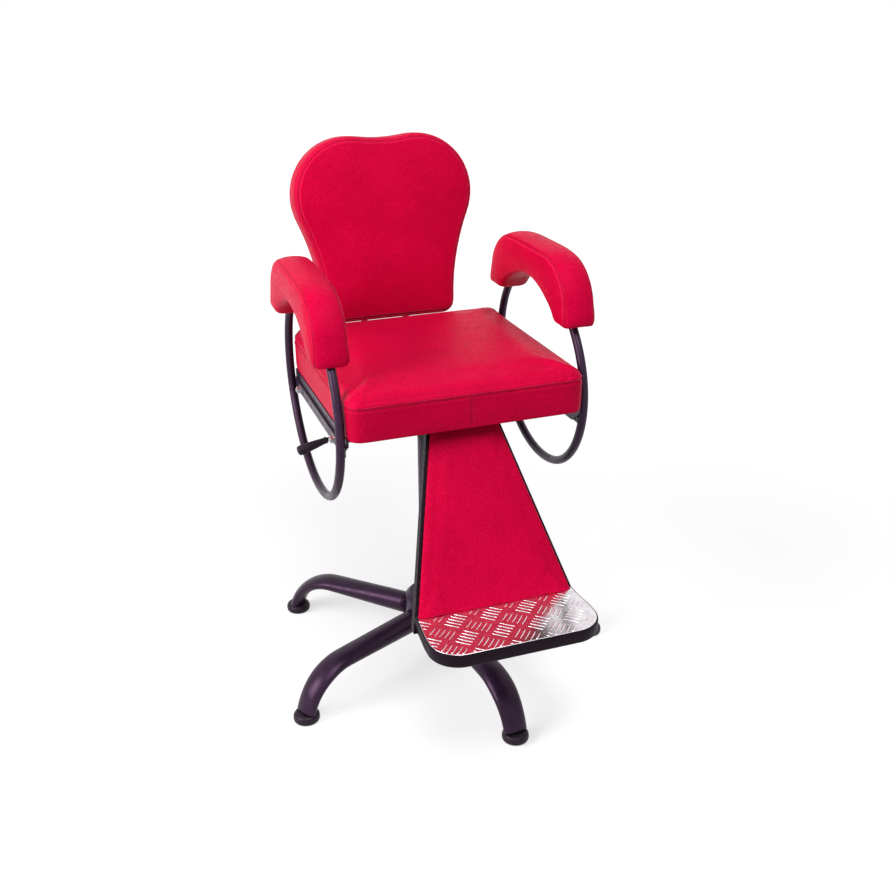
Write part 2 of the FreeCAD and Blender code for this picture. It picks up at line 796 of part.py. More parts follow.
board_blank = feature("board_blank", prism(seat_outline(size("board_inset"), size("seat_bottom")),
                                           Vector(0, 0, size("board_thick"))))
drilled("seat_board", board_blank, [mount_holes, frame_holes])

# each row: height and draw-in of a section, both as shares of the cushion's thickness
SEAT_SECTION_SHARES = (
    (0, 0.03), (0.05, 0.008), (0.14, 0), (0.66, 0), (0.77, 0.012), (0.845, 0.04),
    (0.9, 0.09), (0.945, 0.19), (0.975, 0.42), (0.992, 0.85), (1, 1.4))
seat_wires = []
for height_share, inset_share in SEAT_SECTION_SHARES:
    inset = inset_share * size("seat_thick") + size("side_gap") / 2
    seat_wires.append(seat_outline(inset, size("seat_bottom") + height_share * size("seat_thick")))
seat_blank = feature("seat_blank", Part.makeLoft(seat_wires, True, True))
keep(cut("seat_cushion", seat_blank, board_blank))


# Arms: oval ring tubes with crossbars, wooden blocks, arched pads; the right pad sits lower on its tube

def ring_arcs():
    """The ring's four arcs in the Y-Z plane: centre, radius, start and end angle from +Y to +Z."""
    length = size("ring_half_length")
    height = size("ring_half_height")
    small = size("ring_end_radius")
    large = (length ** 2 + height ** 2 - 2 * length * small) / (2 * (height - small))
    half = math.degrees(math.atan2(large - height, length - small))
    tilt = size("ring_tilt")
    centre_y = size("ring_centre_back")
    centre_z = size("ring_centre_height")
    arcs = []
    rows = ((0, length - small, small, half), (90, height - large, large, 90 - half),
            (180, length - small, small, half), (270, height - large, large, 90 - half))
    for direction, out, radius, reach in rows:
        u, v = on_circle(centre_y, centre_z, out, direction + tilt)
        arcs.append((u, v, radius, direction + tilt - reach, direction + tilt + reach))
    return arcs


def ring_solid(radius):
    """The oval ring as a full rod of the given radius, at x = 0."""
    sweeps = []
    for centre_y, centre_z, reach, start, end in ring_arcs():
        y, z = on_circle(centre_y, centre_z, reach, start)
        lean = math.radians(start + 90)
        section = Part.Circle(Vector(0, y, z), Vector(0, math.cos(lean), math.sin(lean)), radius)
        face = Part.Face(Part.Wire(section.toShape()))
        sweeps.append(face.revolve(Vector(0, centre_y, centre_z), X_AXIS, end - start))
    return sweeps[0].fuse(sweeps[1:]).removeSplitter()


def ring_crossing(height, back):
    """Where the ring's centre line meets a height, at its back or its front."""
    centre_y, centre_z, radius = ring_arcs()[0 if back else 2][:3]
    reach = math.sqrt(radius ** 2 - (height - centre_z) ** 2)
    return centre_y + reach if back else centre_y - reach


ARM_SCREW_SHARES = (-0.22, 0.22)
ring_rod = ring_solid(size("ring_tube_radius"))
ring_bore = ring_solid(size("ring_tube_radius") - size("ring_wall"))
ring_groove = ring_solid(size("ring_tube_radius") + size("groove_gap"))
arm_screw_spots = []
for side, sign in SIDES:
    for share in ARM_SCREW_SHARES:
        along = size("block_centre") + share * size("block_length")
        top = ring_arcs()[1]
        height = top[1] + math.sqrt(top[2] ** 2 - (along - top[0]) ** 2) - size("ring_tube_radius")
        arm_screw_spots.append(Placement(Vector(sign * size("ring_spread"), along, height - size("side_gap")),
                                         Rotation()))
arm_screw_holes = fastener_set(
    "arm_pad_screws", arm_screw_spots, shank=size("screw_radius"),
    length=number("2 * ring_tube_radius + block_thick / 2 + side_gap"),
    head_radius=size("screw_head_radius"), head=size("screw_head"), sides=0)


def pad_outline(inset, across):
    """The arm pad's side view drawn in by an inset: two shoulders over an arched underside."""
    arch = size("pad_arch_radius") + inset
    arch_height = size("pad_arch_top") - size("pad_arch_radius")
    bottom = size("pad_bottom") + inset
    spread = math.degrees(math.acos((bottom - arch_height) / arch))
    front = size("pad_front_shoulder")
    back = size("pad_back_shoulder")
    pieces = [
        (inset - size("pad_front"), bottom),
        (size("pad_arch_centre"), arch_height, arch, 90 + spread, 90 - spread),
        (size("pad_back") - inset, bottom),
        (size("pad_back") - back, size("pad_top") - back, back - inset, 0, 90),
        (front - size("pad_front"), size("pad_top") - front, front - inset, 90, 180),
    ]
    return outline(pieces, lambda u, v: Vector(across, u, v))


# each row: place across the pad and draw-in, both as shares of its width
PAD_SECTION_SHARES = (
    (0, 0.13), (0.035, 0.06), (0.1, 0.018), (0.2, 0), (0.8, 0), (0.9, 0.018), (0.965, 0.06), (1, 0.13))
for side, sign in SIDES:
    middle = Vector(sign * size("ring_spread"), 0, 0)
    bar_low = min(sign * size("seat_width") / 2, sign * number(CROSSBAR_OUTER))
    bar_height = number(CROSSBAR_LOW)
    bolt_line = number(bolt_height)
    bar_front = ring_crossing(bolt_line, False)
    bar_back = ring_crossing(bolt_line, True)
    bar = Part.makeBox(size("crossbar_thick"), bar_back - bar_front, size("crossbar_height"),
                       Vector(bar_low, bar_front, bar_height))
    solid_ring = ring_rod.translated(middle)
    tube = solid_ring.cut(ring_bore.translated(middle))
    blank = feature(f"arm_ring_blank_{side}", tube.fuse(bar.cut(solid_ring)))
    drilled(f"arm_ring_{side}", blank, [arm_bolt_holes, arm_screw_holes])

    block = box(f"arm_block_blank_{side}",
                (f"{sign} * ring_spread - block_width / 2", "block_centre - block_length / 2",
                 "block_bottom"),
                (f"{sign} * ring_spread + block_width / 2", "block_centre + block_length / 2",
                 "block_bottom + block_thick"))
    ring_tool = feature(f"ring_tool_{side}", solid_ring)
    drilled(f"arm_block_{side}", block, [ring_tool, arm_screw_holes])

    edge = number(f"{sign} * ring_spread - pad_width / 2")
    wires = [pad_outline(inset_share * size("pad_width"), edge + share * size("pad_width"))
             for share, inset_share in PAD_SECTION_SHARES]
    slip = Vector(0, 0, -size("pad_slip")) if side == "right" else Vector()
    pad_blank = feature(f"arm_pad_blank_{side}", Part.makeLoft(wires, True, True).translated(slip))
    groove = feature(f"ring_groove_{side}", ring_groove.translated(middle))
    drilled(f"arm_pad_{side}", pad_blank, [block, groove, arm_screw_holes])


# Back: bent support tubes, board and cushion in a leaning frame

back_turn = Rotation(X_AXIS, -size("back_tilt"))
back_frame = Placement(Vector(0, size("back_base_depth"), size("back_base_height")), back_turn)


def back_outline(inset, depth):
    """The two-lobed back seen from the front, drawn in by an inset, at a depth behind its face."""
    lobe = size("back_lobe_radius")
    lobe_u = size("back_lobe_out")
    lobe_v = size("back_lobe_up")
    waist = size("back_waist_radius")
    lean = size("back_waist_angle")
    dip = size("back_dip_radius")
    waist_u, waist_v = on_circle(lobe_u, lobe_v, lobe + waist, -lean)
    dip_v = lobe_v + math.sqrt((lobe + dip) ** 2 - lobe_u ** 2)
    corner = soft_radius(size("back_corner_radius"), inset)
    corner_v = inset + corner
    corner_u = waist_u - math.sqrt((waist + inset + corner) ** 2 - (corner_v - waist_v) ** 2)
    corner_end = math.degrees(math.atan2(waist_v - corner_v, waist_u - corner_u))
    lobe_end = math.degrees(math.atan2(dip_v - lobe_v, -lobe_u))
    side_pieces = [
        (corner_u, corner_v, corner, -90, corner_end),
        (waist_u, waist_v, waist + inset, 180 + corner_end, 180 - lean),
        (lobe_u, lobe_v, lobe - inset, -lean, lobe_end),
    ]
    dip_piece = (0, dip_v, dip + inset, lobe_end - 180, -lobe_end)
    pieces = side_pieces + [dip_piece] + mirrored(side_pieces)
    return outline(pieces, lambda u, v: Vector(u, depth, v))


# each row: depth behind the face and draw-in, both as shares of the back's thickness
BACK_SECTION_SHARES = (
    (1, 0.07), (0.94, 0.014), (0.83, 0), (0.22, 0), (0.1, 0.03), (0.03, 0.12),
    (-0.01, 0.28), (-0.06, 0.75), (-0.1, 1.35))
back_wires = [back_outline(inset_share * size("back_thick"), share * size("back_thick"))
              for share, inset_share in BACK_SECTION_SHARES]
back_blank = feature("back_blank", Part.makeLoft(back_wires, True, True), back_frame)
board_face = back_outline(size("board_inset") + size("side_gap"), number("back_thick - board_thick"))
board_prism = prism(board_face, Vector(0, size("board_thick"), 0))
back_board_blank = feature("back_board_blank", board_prism, back_frame)
keep(cut("back_cushion", back_blank, back_board_blank))

BACK_SCREW_SHARES = (0.3, 0.85)
lean_slope = math.tan(math.radians(size("back_tilt")))
tube_gap = number("(back_thick + support_radius) / cos(back_tilt)")


def support_depth(height):
    """How far back the support tube's centre line lies at a height."""
    return size("back_base_depth") + tube_gap + (height - size("back_base_height")) * lean_slope


def tube_along(wire, radius):
    start = wire.Edges[0]
    section = Part.Circle(start.valueAt(start.FirstParameter), start.tangentAt(start.FirstParameter), radius)
    return wire.makePipeShell([Part.Wire(section.toShape())], True, False)


def support_path(across):
    """Level from the rear cross member, then up the lean of the back."""
    height = size("support_height")
    bend = size("support_bend")
    corner = Vector(across, support_depth(height), height)
    half = (90 - size("back_tilt")) / 2
    trim = bend * math.tan(math.radians(half))
    rise = Vector(0, math.sin(math.radians(size("back_tilt"))), math.cos(math.radians(size("back_tilt"))))
    start = Vector(across, size("cross_front"), height)
    leave = corner - Vector(0, trim, 0)
    join = corner + rise * trim
    centre = leave + Vector(0, 0, bend)
    middle = centre + (corner - centre).normalize() * bend
    top = corner + rise * ((size("support_top") - height) / rise.z)
    return Part.Wire([Part.LineSegment(start, leave).toShape(), Part.Arc(leave, middle, join).toShape(),
                      Part.LineSegment(join, top).toShape()])


back_screw_spots = []
for side, sign in SIDES:
    for share in BACK_SCREW_SHARES:
        height = size("back_base_height") + share * number("support_top - back_base_height")
        out = number("support_radius + side_gap / 2")
        centre = Vector(sign * size("support_spread"), support_depth(height), height)
        axis_out = back_turn.multVec(Vector(0, 1, 0))
        facing = back_turn.multiply(Rotation(X_AXIS, 90))
        back_screw_spots.append(Placement(centre + axis_out * out, facing))
back_screw_holes = fastener_set(
    "back_screws", back_screw_spots, shank=size("screw_radius"),
    length=number("2 * support_radius + board_thick * 3 / 4 + side_gap / 2"),
    head_radius=size("screw_head_radius"), head=size("screw_head"), sides=0)
drilled("back_board", back_board_blank, [back_screw_holes])
for side, sign in SIDES:
    path = support_path(sign * size("support_spread"))
    bore = tube_along(path, number("support_radius - support_wall"))
    tube = tube_along(path, size("support_radius")).cut(bore)
    drilled(f"back_support_{side}", feature(f"support_blank_{side}", tube), [back_screw_holes])


# Footrest: struts, panel board, calf pad, footplate, tread plate

FOOTPLATE_BOTTOM = "(footplate_top - tread_thick - footplate_thick)"
PANEL_LENGTH = "((panel_top - footplate_top) / cos(panel_slope))"
TAPER = f"((panel_half_width - panel_top_half_width) / {PANEL_LENGTH})"
BOARD_BACK = "(calf_pad + panel_board)"
STRUT_LOW = f"({FOOTPLATE_BOTTOM} - strut_foot_thick)"
TAIL_TOP = "(plate_top + strut_size)"
panel_turn = Rotation(X_AXIS, -size("panel_slope"))
panel_frame = Placement(Vector(0, -size("panel_base_depth"), size("footplate_top")), panel_turn)

foot_screw_spots = []
FOOT_SCREW_SHARES = (0.25, 0.75)
for side, sign in SIDES:
    for share in FOOT_SCREW_SHARES:
        across = sign * size("strut_spread")
        along = share * number("strut_foot_front - panel_base_depth - strut_size") - size("strut_foot_front")
        low = Vector(across, along, number(STRUT_LOW))
        foot_screw_spots.append(Placement(low, Rotation()))
        behind_board = Vector(across, size("panel_depth"), share * number(PANEL_LENGTH))
        foot_screw_spots.append(panel_frame.multiply(Placement(behind_board, Rotation(X_AXIS, 90))))
foot_screw_holes = fastener_set(
    "footrest_screws", foot_screw_spots, shank=size("screw_radius"),
    length=number("strut_size + panel_board / 2"),
    head_radius=size("screw_head_radius"), head=size("screw_head"), sides=0)

drop = "((footplate_thick + panel_board + strut_size) / cos(panel_slope))"
rise = f"({PANEL_LENGTH} + panel_board)"
board = extruded("panel_blank", "XZ_Plane", [
    (f"-(panel_half_width + {TAPER} * {drop})", f"-{drop}"),
    (f"panel_half_width + {TAPER} * {drop}", f"-{drop}"),
    (f"panel_half_width - {TAPER} * {rise}", rise),
    (f"-(panel_half_width - {TAPER} * {rise})", rise),
], "panel_board")
half_depth = "(calf_pad + panel_board / 2)"
place(board, "0", f"{half_depth} * cos(panel_slope) - panel_base_depth",
      f"footplate_top - {half_depth} * sin(panel_slope)", X_AXIS, "-panel_slope")
slab = box("panel_slab", ("-footplate_half_width * 2", "-footplate_front", FOOTPLATE_BOTTOM),
           ("footplate_half_width * 2", "footplate_front", "panel_top"))
drilled("panel_board", common("panel_trimmed", board, slab), [foot_screw_holes])


def calf_outline(inset, depth):
    """The calf pad's tapered outline with rounded corners, drawn in by an inset."""
    taper = number(TAPER)
    lean = math.atan(taper)
    corner = soft_radius(size("calf_pad_corner"), inset)
    low = size("side_gap") + inset + corner
    high = number(f"{PANEL_LENGTH} - calf_pad_inset") - inset - corner
    edge = number("panel_half_width - calf_pad_inset") - (inset + corner) / math.cos(lean)
    angle = math.degrees(lean)
    side_pieces = [
        (edge - taper * low, low, corner, -90, angle),
        (edge - taper * high, high, corner, angle, 90),
    ]
    return outline(side_pieces + mirrored(side_pieces), lambda u, v: Vector(u, depth, v))


# each row: depth behind the face and draw-in, both as shares of the pad's thickness
CALF_SECTION_SHARES = ((1, 0.12), (0.75, 0), (0.4, 0.03), (0.12, 0.3), (0, 0.9), (-0.12, 3), (-0.2, 5.5))
calf_wires = [calf_outline(inset_share * size("calf_pad"), share * size("calf_pad"))
              for share, inset_share in CALF_SECTION_SHARES]
calf_blank = feature("calf_blank", Part.makeLoft(calf_wires, True, True), panel_frame)
above_tread = box("above_tread", ("-seat_width", "-footplate_front", "footplate_top + rest_gap"),
                  ("seat_width", "footplate_front", "panel_top"))
keep(common("calf_pad", calf_blank, above_tread))


def foot_outline(inset, height):
    half = size("footplate_half_width") - inset
    corner = size("footplate_corner") - inset
    front = inset - size("footplate_front")
    back = -size("panel_base_depth")
    pieces = [
        (half - corner, front + corner, corner, -90, 0),
        (size("panel_half_width") - inset, back),
        (size("panel_half_width") - inset, 0),
    ]
    return outline(pieces + mirrored(pieces), lambda u, v: Vector(u, v, height))


behind = Part.makeBox(size("seat_width"), size("seat_width"), size("seat_width") * 2,
                      Vector(-size("seat_width") / 2, size("calf_pad"), -size("seat_width")))
behind.Placement = panel_frame.multiply(behind.Placement)
plate = prism(foot_outline(0, number(FOOTPLATE_BOTTOM)), Vector(0, 0, size("footplate_thick")))
plate_blank = feature("footplate_blank", plate.cut(behind))
drilled("footplate_board", plate_blank, [foot_screw_holes])
tread = prism(foot_outline(size("tread_inset"), number("footplate_top - tread_thick")),
              Vector(0, 0, size("tread_thick")))
keep(feature("tread_plate", tread.cut(behind)))


def strut_depth(height, behind_face):
    return (f"(({height} - footplate_top) * tan(panel_slope) - panel_base_depth"
            f" + {behind_face} / cos(panel_slope))")


for side, sign in SIDES:
    bar = extruded(f"strut_bar_{side}", "YZ_Plane", [
        (strut_depth(STRUT_LOW, BOARD_BACK), STRUT_LOW),
        (strut_depth(STRUT_LOW, "panel_depth"), STRUT_LOW),
        (strut_depth("plate_top", "panel_depth"), "plate_top"),
        ("-cross_front", "plate_top"),
        ("-cross_front", TAIL_TOP),
        (strut_depth(TAIL_TOP, BOARD_BACK), TAIL_TOP),
    ], "strut_size")
    place(bar, f"{sign} * strut_spread")
    toe = box(f"strut_toe_{side}",
              (f"{sign} * strut_spread - strut_size / 2", "-strut_foot_front", STRUT_LOW),
              (f"{sign} * strut_spread + strut_size / 2", strut_depth(STRUT_LOW, "panel_depth"),
               FOOTPLATE_BOTTOM))
    drilled(f"footrest_strut_{side}", fuse(f"strut_blank_{side}", [bar, toe]), [foot_screw_holes])


# Check every object, then write each node

doc.recompute()
for item in doc.Objects:
    if "Invalid" in item.State or "Error" in item.State:
        raise RuntimeError(f"{item.Label} failed: {item.State}")
os.makedirs("parts", exist_ok=True)
for item in nodes:
    if item.Shape.isNull() or not item.Shape.isValid():
        raise RuntimeError(f"{item.Label} has no valid shape")
    item.Shape.exportStep(f"parts/{item.Label}.step")
print(len(nodes), "nodes")
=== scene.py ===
"""Visual model of the child-size salon chair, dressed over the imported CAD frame.

Lengths are written in millimetres and turned into metres by MM. The sitter looks along -Y.
"""
import bmesh
import bpy
import json
import math
import numpy as np
from mathutils import Matrix, Vector
from mathutils.bvhtree import BVHTree
from mathutils.kdtree import KDTree


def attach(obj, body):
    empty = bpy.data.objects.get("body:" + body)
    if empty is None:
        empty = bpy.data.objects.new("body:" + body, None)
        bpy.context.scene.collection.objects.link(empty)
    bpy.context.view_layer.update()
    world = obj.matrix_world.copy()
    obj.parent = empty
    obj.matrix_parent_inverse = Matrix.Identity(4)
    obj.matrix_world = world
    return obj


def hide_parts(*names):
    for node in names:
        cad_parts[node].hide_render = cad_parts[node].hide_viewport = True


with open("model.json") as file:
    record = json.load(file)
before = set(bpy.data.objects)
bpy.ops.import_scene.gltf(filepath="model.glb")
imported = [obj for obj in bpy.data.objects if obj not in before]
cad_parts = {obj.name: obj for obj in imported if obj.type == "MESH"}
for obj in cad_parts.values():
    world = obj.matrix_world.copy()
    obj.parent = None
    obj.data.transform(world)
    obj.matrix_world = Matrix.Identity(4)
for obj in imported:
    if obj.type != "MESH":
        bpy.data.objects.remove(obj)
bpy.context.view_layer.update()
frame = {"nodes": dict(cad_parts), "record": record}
scene = bpy.context.scene
MM = 0.001


# Materials

def principled(name, colour, roughness, metallic=0.0, **inputs):
    """A new material with its Principled shader set to constants."""
    mat = bpy.data.materials.new(name)
    mat.use_nodes = True
    shader = mat.node_tree.nodes["Principled BSDF"]
    shader.inputs["Base Color"].default_value = (*colour, 1)
    shader.inputs["Roughness"].default_value = roughness
    shader.inputs["Metallic"].default_value = metallic
    for key, value in inputs.items():
        shader.inputs[key.replace("_", " ")].default_value = value
    return mat, mat.node_tree, shader


def coordinates(tree, stretch=(1, 1, 1)):
    """Object coordinates, stretched along the axes if asked."""
    source = tree.nodes.new("ShaderNodeTexCoord").outputs["Object"]
    if stretch == (1, 1, 1):
        return source
    mapping = tree.nodes.new("ShaderNodeMapping")
    mapping.inputs["Scale"].default_value = stretch
    tree.links.new(source, mapping.inputs["Vector"])
    return mapping.outputs["Vector"]


def noise(tree, grain_mm, detail=2.0, stretch=(1, 1, 1)):
    """Noise whose features are about this many millimetres across."""
    node = tree.nodes.new("ShaderNodeTexNoise")
    node.inputs["Scale"].default_value = 1 / (grain_mm * MM)
    node.inputs["Detail"].default_value = detail
    tree.links.new(coordinates(tree, stretch), node.inputs["Vector"])
    return node.outputs["Fac"]


def cells(tree, grain_mm, stretch=(1, 1, 1)):
    """Distance to the middle of cells of about this many millimetres."""
    node = tree.nodes.new("ShaderNodeTexVoronoi")
    node.inputs["Scale"].default_value = 1 / (grain_mm * MM)
    tree.links.new(coordinates(tree, stretch), node.inputs["Vector"])
    return node.outputs["Distance"]


def ramp(tree, fac, stops):
    node = tree.nodes.new("ShaderNodeValToRGB")
    elements = node.color_ramp.elements
    while len(elements) < len(stops):
        elements.new(0.5)
    for element, (place, colour) in zip(elements, stops):
        element.position = place
        element.color = (*colour, 1)
    tree.links.new(fac, node.inputs["Fac"])
    return node.outputs["Color"]


def spread(tree, fac, low, high, start=0.3, end=0.7):
    """The value mapped from start..end to low..high."""
    node = tree.nodes.new("ShaderNodeMapRange")
    for key, value in (("From Min", start), ("From Max", end), ("To Min", low), ("To Max", high)):
        node.inputs[key].default_value = value
    tree.links.new(fac, node.inputs["Value"])
    return node.outputs["Result"]


def mixed(tree, kind, amount, first, second):
    node = tree.nodes.new("ShaderNodeMix")
    node.data_type = "RGBA"
    node.blend_type = kind
    if isinstance(amount, float):
        node.inputs[0].default_value = amount
    else:
        tree.links.new(amount, node.inputs[0])
    tree.links.new(first, node.inputs[6])
    if isinstance(second, tuple):
        node.inputs[7].default_value = (*second, 1)
    else:
        tree.links.new(second, node.inputs[7])
    return node.outputs[2]


def bump(tree, shader, height, strength, depth_mm, under=None):
    """Relief from a height; a second one goes on top of an earlier one."""
    node = tree.nodes.new("ShaderNodeBump")
    node.inputs["Strength"].default_value = strength
    node.inputs["Distance"].default_value = depth_mm * MM
    tree.links.new(height, node.inputs["Height"])
    if under:
        tree.links.new(under, node.inputs["Normal"])
    tree.links.new(node.outputs["Normal"], shader.inputs["Normal"])
    return node.outputs["Normal"]


def leatherette(name, dark, middle, light):
    """Mottled crimson cover with a fine grain and a faint pink sheen."""
    mat, tree, shader = principled(
        name, middle, 0.5, Sheen_Weight=0.02, Sheen_Roughness=0.32, Sheen_Tint=(1, 0.42, 0.62, 1),
        Specular_IOR_Level=0.1, Specular_Tint=(1, 0.15, 0.4, 1))
    heather = ramp(tree, noise(tree, 3.8, 6), [(0.3, dark), (0.5, middle), (0.7, light)])
    cloud = ramp(tree, noise(tree, 55, 3), [(0.3, (0.88, 0.84, 0.86)), (0.7, (1, 1, 1))])
    speck = ramp(tree, noise(tree, 1.9, 3), [(0.26, (0.86, 0.78, 0.82)), (0.4, (1, 1, 1))])
    colour = mixed(tree, "MULTIPLY", 1.0, heather, cloud)
    tree.links.new(mixed(tree, "MULTIPLY", 0.5, colour, speck), shader.inputs["Base Color"])
    tree.links.new(spread(tree, noise(tree, 9, 3), 0.42, 0.58), shader.inputs["Roughness"])
    grain = bump(tree, shader, cells(tree, 1.3), 0.13, 0.3)
    bump(tree, shader, noise(tree, 16, 2), 0.16, 0.6, grain)
    return mat


def black_paint(name, colour, roughness):
    """Satin powder coat with orange peel and faint rubbed patches."""
    mat, tree, shader = principled(name, colour, roughness, Specular_IOR_Level=0.26,
                                   Specular_Tint=(1, 0.6, 1, 1))
    light = tuple(min(1, c * 1.7) for c in colour)
    tone = ramp(tree, noise(tree, 30, 4), [(0.35, colour), (0.72, light)])
    tree.links.new(tone, shader.inputs["Base Color"])
    tree.links.new(spread(tree, noise(tree, 12, 4), roughness - 0.06, roughness + 0.1),
                   shader.inputs["Roughness"])
    bump(tree, shader, noise(tree, 1.6, 2), 0.16, 0.12)
    return mat


def metal(name, colour, roughness, stretch, grain_mm=0.6, depth_mm=0.03):
    """Bare metal with fine lines along one axis and small smudges."""
    mat, tree, shader = principled(name, colour, roughness, 1.0)
    lines = noise(tree, grain_mm, 3, stretch)
    shade = tuple(c * 0.82 for c in colour)
    tree.links.new(ramp(tree, noise(tree, 16, 3), [(0.3, shade), (0.6, colour)]), shader.inputs["Base Color"])
    tree.links.new(spread(tree, noise(tree, 8, 4), roughness * 0.8, roughness * 1.35),
                   shader.inputs["Roughness"])
    bump(tree, shader, lines, 0.3, depth_mm)
    return mat


def plastic(name, colour, roughness):
    """Moulded plastic with a fine matt texture."""
    mat, tree, shader = principled(name, colour, roughness, Specular_IOR_Level=0.22,
                                   Specular_Tint=(1, 0.82, 0.97, 1))
    light = tuple(min(1, c * 1.5) for c in colour)
    tree.links.new(ramp(tree, noise(tree, 10, 4), [(0.4, colour), (0.7, light)]), shader.inputs["Base Color"])
    tree.links.new(spread(tree, noise(tree, 5, 3), roughness - 0.07, roughness + 0.08),
                   shader.inputs["Roughness"])
    bump(tree, shader, noise(tree, 0.7, 2), 0.3, 0.08)
    return mat


def wood(name, dark, light, ply_mm, roughness=0.6):
    """Board with plies stacked along Z and grain along Y."""
    mat, tree, shader = principled(name, light, roughness, Specular_IOR_Level=0.1,
                                   Specular_Tint=(1, 0.8, 0.97, 1))
    grain = ramp(tree, noise(tree, 2.2, 5, (1, 0.08, 1)), [(0.3, dark), (0.62, light)])
    ply = tree.nodes.new("ShaderNodeTexWave")
    ply.bands_direction = "Z"
    ply.inputs["Scale"].default_value = math.tau / 20 / (ply_mm * MM)
    ply.inputs["Distortion"].default_value = 0.4
    tree.links.new(coordinates(tree), ply.inputs["Vector"])
    layers = ramp(tree, ply.outputs["Fac"], [(0.25, (0.72, 0.66, 0.6)), (0.5, (1, 1, 1))])
    tree.links.new(mixed(tree, "MULTIPLY", 0.7, grain, layers), shader.inputs["Base Color"])
    tree.links.new(spread(tree, noise(tree, 3, 3, (1, 0.1, 1)), roughness - 0.08, roughness + 0.12),
                   shader.inputs["Roughness"])
    bump(tree, shader, noise(tree, 1.1, 4, (1, 0.06, 1)), 0.25, 0.12)
    return mat


RED_DARK = (0.53, 0.0008, 0.032)
RED_MIDDLE = (0.59, 0.0014, 0.040)
RED_LIGHT = (0.655, 0.003, 0.050)
BLACK = (0.016, 0.0078, 0.018)

MATERIALS = {
    "red_leather": leatherette("red_leatherette", RED_DARK, RED_MIDDLE, RED_LIGHT),
    "black_steel": black_paint("black_powder_coat", BLACK, 0.3),
    "bare_steel": metal("ground_steel", (0.60, 0.60, 0.62), 0.25, (1, 1, 0.05)),
    "zinc_steel": metal("bright_zinc", (0.62, 0.61, 0.64), 0.3, (0.3, 1, 1)),
    "black_plastic": plastic("matt_black_plastic", (0.013, 0.008, 0.014), 0.42),
    "plywood": wood("raw_plywood", (0.36, 0.22, 0.11), (0.60, 0.43, 0.26), 1.5),
    "black_board": wood("black_painted_board", (0.006, 0.003, 0.006), (0.012, 0.006, 0.012), 3, 0.45),
    "tread_aluminium": metal("polished_aluminium", (0.88, 0.83, 0.87), 0.16, (0.04, 1, 1), 0.5, 0.012),
}
THREAD_DARK = plastic("dark_red_thread", (0.22, 0.0015, 0.018), 0.6)
# Pale thread; where its rows run beside a dark row it is a painted highlight along the seam's fold.
PALE_THREAD_AND_PAINTED_HIGHLIGHT = plastic("pale_red_thread_and_painted_highlight", (0.70, 0.035, 0.10), 0.6)

for entry in frame["record"]["subparts"]:
    node = frame["nodes"][entry["node"]]
    node.data.materials.clear()
    node.data.materials.append(MATERIALS[entry["material_slot"]])


# Mesh helpers

def mesh_object(name, verts, faces, mat=None, smooth=True):
    mesh = bpy.data.meshes.new(name)
    mesh.from_pydata([tuple(v) for v in verts], [], faces)
    mesh.validate()
    mesh.update()
    mesh.polygons.foreach_set("use_smooth", [smooth] * len(mesh.polygons))
    if mat:
        mesh.materials.append(mat)
    obj = bpy.data.objects.new(name, mesh)
    scene.collection.objects.link(obj)
    return obj


def recalculated(obj):
    """Outward normals on every loose shell."""
    work = bmesh.new()
    work.from_mesh(obj.data)
    bmesh.ops.recalc_face_normals(work, faces=work.faces)
    work.to_mesh(obj.data)
    work.free()
    return obj


def bridge(loops, closed=True, capped=True):
    """Vertices and faces of a skin through loops of equal length."""
    count = len(loops[0])
    verts = [point for loop in loops for point in loop]
    faces = []
    for row in range(len(loops) - 1):
        for col in range(count if closed else count - 1):
            following = (col + 1) % count
            faces.append((row * count + col, row * count + following,
                          (row + 1) * count + following, (row + 1) * count + col))
    if capped:
        faces.append(tuple(reversed(range(count))))
        faces.append(tuple(range((len(loops) - 1) * count, len(loops) * count)))
    return verts, faces


def on_circle(centre_u, centre_v, radius, angle):
    turn = math.radians(angle)
    return centre_u + radius * math.cos(turn), centre_v + radius * math.sin(turn)


def outline(pieces):
    """Points of a closed outline given as corners (u, v) and arcs (centre, radius, start, end)."""
    points = []
    for piece in pieces:
        if len(piece) == 2:
            points.append(piece)
        else:
            centre_u, centre_v, radius, start, end = piece
            count = max(4, int(abs(end - start) / 3))
            points += [on_circle(centre_u, centre_v, radius, start + (end - start) * step / count)
                       for step in range(count + 1)]
    return points


def resampled(points, count, closed=True):
    """The same path with evenly spaced points."""
    path = np.array(points + points[:1] if closed else points, float)
    gaps = np.linalg.norm(np.diff(path, axis=0), axis=1)
    along = np.concatenate([[0], np.cumsum(gaps)])
    stops = np.linspace(0, along[-1], count, endpoint=not closed)
    return [tuple(np.interp(stop, along, path[:, axis]) for axis in range(path.shape[1])) for stop in stops]


def mirrored(pieces):
    twins = []
    for piece in reversed(pieces):
        if len(piece) == 2:
            twins.append((-piece[0], piece[1]))
        else:
            centre_u, centre_v, radius, start, end = piece
            twins.append((-centre_u, centre_v, radius, 180 - end, 180 - start))
    return twins


def sweep(name, path, radius, mat, sides=8, closed=False):
    """A round bar along a path of Vectors."""
    points = [Vector(p) for p in path]
    total = len(points)
    tangents = []
    for index in range(total):
        before = points[index - 1] if closed or index else points[index]
        after = points[(index + 1) % total] if closed or index < total - 1 else points[index]
        tangents.append((after - before).normalized())
    side = tangents[0].orthogonal().normalized()
    loops = []
    for point, tangent in zip(points, tangents):
        side = (side - tangent * side.dot(tangent)).normalized()
        up = tangent.cross(side)
        turns = [math.tau * k / sides for k in range(sides)]
        loops.append([point + radius * (side * math.cos(turn) + up * math.sin(turn)) for turn in turns])
    if closed:
        verts, faces = bridge(loops + loops[:1], capped=False)
    else:
        verts, faces = bridge(loops)
    return mesh_object(name, verts, faces, mat)


